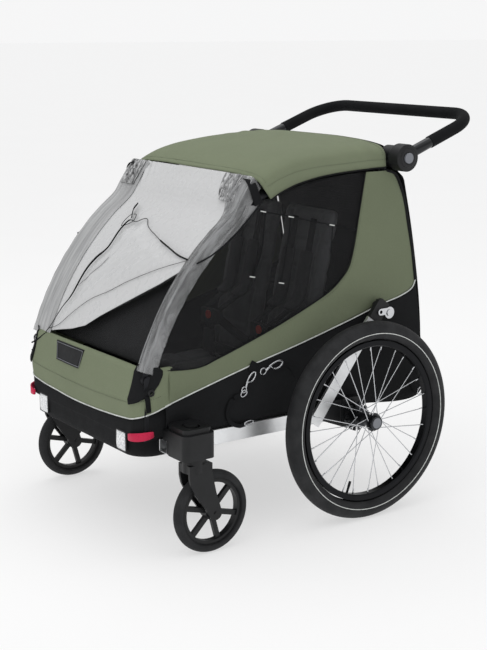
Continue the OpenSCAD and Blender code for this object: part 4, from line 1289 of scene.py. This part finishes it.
cushion = pad("seat_pad", (0.452, 0.186, 0.030), on_seat,
              [(0, 0.0, 0.008, 0.006), (0, 0.115, 0.004, 0.005), (0, -0.115, 0.004, 0.005),
               (1, -0.02, 0.004, 0.005)])
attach(cushion, "chassis")
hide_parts("seat_cushion")
BACK_CHANNELS = [(1, y, 0.005, 0.005) for y in (-0.13, -0.04, 0.05, 0.13)]
BACK_CHANNELS += [(0, x, 0.003, 0.005) for x in (0.06, -0.06)]
for side_name, side in SIDES:
    rest = pad(f"back_pad_{side_name}", (0.208, 0.424, 0.018),
               lambda x, y, z: on_back(side * 0.116 + x, 0.217 + y, z + 0.003), BACK_CHANNELS)
    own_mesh(rest)
    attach(rest, "chassis")
    if side > 0:
        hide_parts("backrests")
    parts = []
    middle = side * 0.115
    for dx in (-0.030, 0.030):
        up = [(middle + dx * (1 + 0.25 * t), -0.043 + 0.095 * t ** 0.9, 0.466 + 0.062 * t)
              for t in np.linspace(0, 1, 12)]
        up += [on_back(middle + dx * 1.25, u, 0.0215) for u in np.linspace(0.20, 0.395, 20)]
        path = spline(up[::3] + [up[-1]], 60)
        parts.append(strap("shoulder", path, (1, 0, 0), 0.024, 0.002))
        pad_path = path[12:44]
        puff = [0.75] + [1.0] * (len(pad_path) - 2) + [0.75]
        parts.append(strap("shoulder_pad", pad_path + np.array([0, -0.003, 0.002]), (1, 0, 0), 0.044, 0.009,
                           M["lining"], taper=puff))
    crotch = spline([(middle, -0.040, 0.334), (middle, -0.052, 0.360), (middle, -0.050, 0.400),
                     (middle, -0.047, 0.430)], 24)
    parts.append(strap("crotch", crotch, (1, 0, 0), 0.028, 0.0025))
    crotch_pad = crotch[4:20] + np.array([0, -0.003, 0])
    parts.append(strap("crotch_pad", crotch_pad, (1, 0, 0), 0.050, 0.008, M["lining"]))
    for way in (-1, 1):
        lap = spline([(middle + way * 0.036, -0.046, 0.446), (middle + way * 0.075, -0.030, 0.420),
                      (middle + way * 0.100, 0.004, 0.385), (middle + way * 0.104, 0.012, 0.362)], 26)
        parts.append(strap("lap", lap, (0, 0.4, 0.9), 0.022, 0.002))
    belts = join(f"harness_{side_name}", parts)
    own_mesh(belts)
    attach(belts, "chassis")
    if side > 0:
        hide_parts("harnesses")

# ---------------------------------------------------------------- tension straps and hooks on the sides


def hook(a, b, side):
    """Metal snap hook lying on the side from a to b in the side view."""
    a, b = np.array(a), np.array(b)
    length = np.linalg.norm(b - a)
    d = (b - a) / length
    n = np.array([-d[1], d[0]])

    def at(u, v):
        return (0.2875 * side, *(a + d * u * length + n * v * length))

    out = []
    body = spline([at(0.40, 0.07), at(0.62, 0.115), at(0.86, 0.105), at(0.98, 0.0), at(0.86, -0.105),
                   at(0.66, -0.115), at(0.60, -0.07)], 40)
    out.append(tube("hook", body, 0.0021, M["chrome"], 8))
    out.append(tube("gate", [at(0.44, 0.10), at(0.58, -0.10)], 0.0015, M["chrome"], 8))
    out.append(tube("neck", [at(0.26, 0), at(0.46, 0.05)], 0.0034, M["chrome"], 10, taper=[1, 0.7]))
    eye = [at(0.14 + 0.12 * math.cos(t), 0.11 * math.sin(t)) for t in turn(26)]
    out.append(tube("eye", eye, 0.0016, M["chrome"], 8, closed=True))
    return out


def oval_ring(y, z, side, size, tilt, x=0.2885, squat=0.72):
    """Oval metal ring lying on the side, tilted in the side view."""
    pts = []
    for t in turn(30):
        u, v = size * math.cos(t), squat * size * math.sin(t)
        pts.append((x * side, y + u * math.cos(tilt) - v * math.sin(tilt),
                    z + u * math.sin(tilt) + v * math.cos(tilt)))
    return tube("ring", pts, 0.0015, M["chrome"], 8, closed=True)


for side_name, side in SIDES:
    metal_bits = hook((-0.228, 0.352), (-0.190, 0.398), side) + hook((-0.176, 0.393), (-0.108, 0.411), side)
    metal_bits.append(oval_ring(-0.224, 0.350, side, 0.0095, 0.6))
    metal_bits.append(oval_ring(-0.212, 0.2765, side, 0.013, 0.12, x=0.2925, squat=0.36))
    metal_bits.append(oval_ring(0.340, 0.268, side, 0.010, 1.1))
    hooks = join(f"hooks_{side_name}", metal_bits)
    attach(hooks, "chassis")
    loop = spline([(0.2868, -0.226, 0.346), (0.2872, -0.250, 0.344), (0.2885, -0.266, 0.328),
                   (0.2895, -0.272, 0.305), (0.2905, -0.262, 0.284), (0.2915, -0.240, 0.273),
                   (0.2918, -0.222, 0.274)], 50)
    web = [strap("loop", flip(loop, side), (0, 0.35, 0.25), 0.010, 0.0018)]
    far = spline([(0.2862, -0.112, 0.405), (0.2862, -0.095, 0.402), (0.2858, -0.080, 0.385),
                  (0.2852, -0.066, 0.359)], 24)
    web.append(strap("tail", flip(far, side), (0.1, 0.7, 0.7), 0.007, 0.0018))
    tab = [(0.2858, -0.202, 0.400), (0.2866, -0.194, 0.412), (0.2850, -0.188, 0.421)]
    web.append(strap("anchor", flip(tab, side), (0, 0.92, 0.38), 0.022, 0.0018))
    rear_strap = spline([(0.2826, 0.300, 0.320), (0.2846, 0.312, 0.300), (0.2862, 0.326, 0.278),
                         (0.2858, 0.334, 0.270)], 16)
    web.append(strap("rear", flip(rear_strap, side), (0, 0.8, 0.5), 0.018, 0.0018))
    webs = join(f"tension_straps_{side_name}", web)
    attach(webs, "chassis")
    if side > 0:
        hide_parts("tension_straps")
        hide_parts("strap_hardware")

# ---------------------------------------------------------------- CAD parts


def paint(mat, *names, bevel=0.0011):
    """Material, smooth shading and softened edges for CAD nodes."""
    for name in names:
        o = NODES[name]
        if not o.data.materials:
            o.data.materials.append(M[mat])
        for s in o.material_slots:
            s.link = "OBJECT"
            s.material = M[mat]
        for p in o.data.polygons:
            p.use_smooth = True
        w = o.modifiers.new("weld", "WELD")
        w.merge_threshold = 2e-5
        if bevel:
            b = o.modifiers.new("bevel", "BEVEL")
            b.width, b.segments, b.limit_method, b.angle_limit = bevel, 2, "ANGLE", math.radians(32)
            b.harden_normals, b.use_clamp_overlap = True, True
        n = o.modifiers.new("normals", "WEIGHTED_NORMAL")
        n.keep_sharp = True


paint("alu", "rail_left", "rail_right", "cross_tubes", "struts")
paint("plastic", "axle_brackets", "latch_brackets", bevel=0.0018)
paint("frame", "front_hinges", "roof_bar_left", "roof_bar_right", "roof_cross_bars", "upright_hoop",
      bevel=0.0008)
paint("caster", "caster_brackets", bevel=0.004)
paint("caster", "fork_left", "fork_right", bevel=0.003)
paint("caster", "caster_wheel_left", "caster_wheel_right", bevel=0.0016)
paint("caster", "caster_button_left", "caster_button_right", bevel=0.0014)
paint("caster_tyre", "caster_tyre_left", "caster_tyre_right", bevel=0)
paint("plastic", "hub_housings", "handle_clamps", bevel=0.002)
paint("gloss_tube", "handlebar_tube", bevel=0)
paint("foam", "handlebar_grip", bevel=0.0012)
paint("grey", "hub_button_left", "hub_button_right", bevel=0.0016)
paint("chrome", "latch_lever_left", "latch_lever_right", bevel=0.0009)
paint("tyre", "tyre_left", "tyre_right", bevel=0)
paint("rim", "rim_left", "rim_right", bevel=0.0006)
paint("steel", "spokes_left", "spokes_right", "brake_pin_left", "brake_pin_right", bevel=0)
paint("hub", "hub_left", "hub_right", bevel=0.0008)
paint("grey", "cap_button_left", "cap_button_right", bevel=0.0016)
paint("dull", "buckles", bevel=0.0025)
paint("red", "buckle_button_left", "buckle_button_right", bevel=0.0012)
paint("plastic", "brake_pedal", bevel=0.0016)

def on_wheel(x, r, angle):
    """Point of a rear wheel: across, and from its centre in the side view."""
    return (x, WHEEL[1] + r * math.cos(angle), WHEEL[2] + r * math.sin(angle))


# pale line on each tyre's wall, spoke nipples and a valve
SPOKES = 28
for side_name, side in SIDES:
    ring = [on_wheel(side * 0.3936, 0.2225, a) for a in turn(180)]
    line = tube(f"tyre_line_{side_name}", ring, 0.0011, M["piping"], 8, closed=True)
    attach(line, f"rear_wheel_{side_name}")
    small = []
    for i in range(SPOKES):
        a = math.radians(360 * i / SPOKES)
        x = side * (WHEEL[0] + (0.004 if i % 2 else -0.004))
        line = [on_wheel(x, r, a) for r in (0.190, 0.184, 0.176)]
        small.append(tube("nipple", line, 0.0019, M["chrome"], 8, taper=[1, 1, 0.75]))
    line = [on_wheel(side * WHEEL[0], r, math.radians(250)) for r in (0.190, 0.176, 0.170, 0.158)]
    small.append(tube("valve", line, 0.0030, M["dull"], 10, taper=[1, 1, 1.2, 1.1]))
    nipples = join(f"nipples_{side_name}", small)
    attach(nipples, f"rear_wheel_{side_name}")

# ---------------------------------------------------------------- floor and end

FLOOR_HALF = 90
corners = [(a * FLOOR_HALF, b * FLOOR_HALF, 0) for a, b in ((-1, -1), (1, -1), (1, 1), (-1, 1))]
ground = from_mesh("ground", corners, [(0, 1, 2, 3)], M["floor"])
ground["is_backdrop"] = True

low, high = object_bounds()
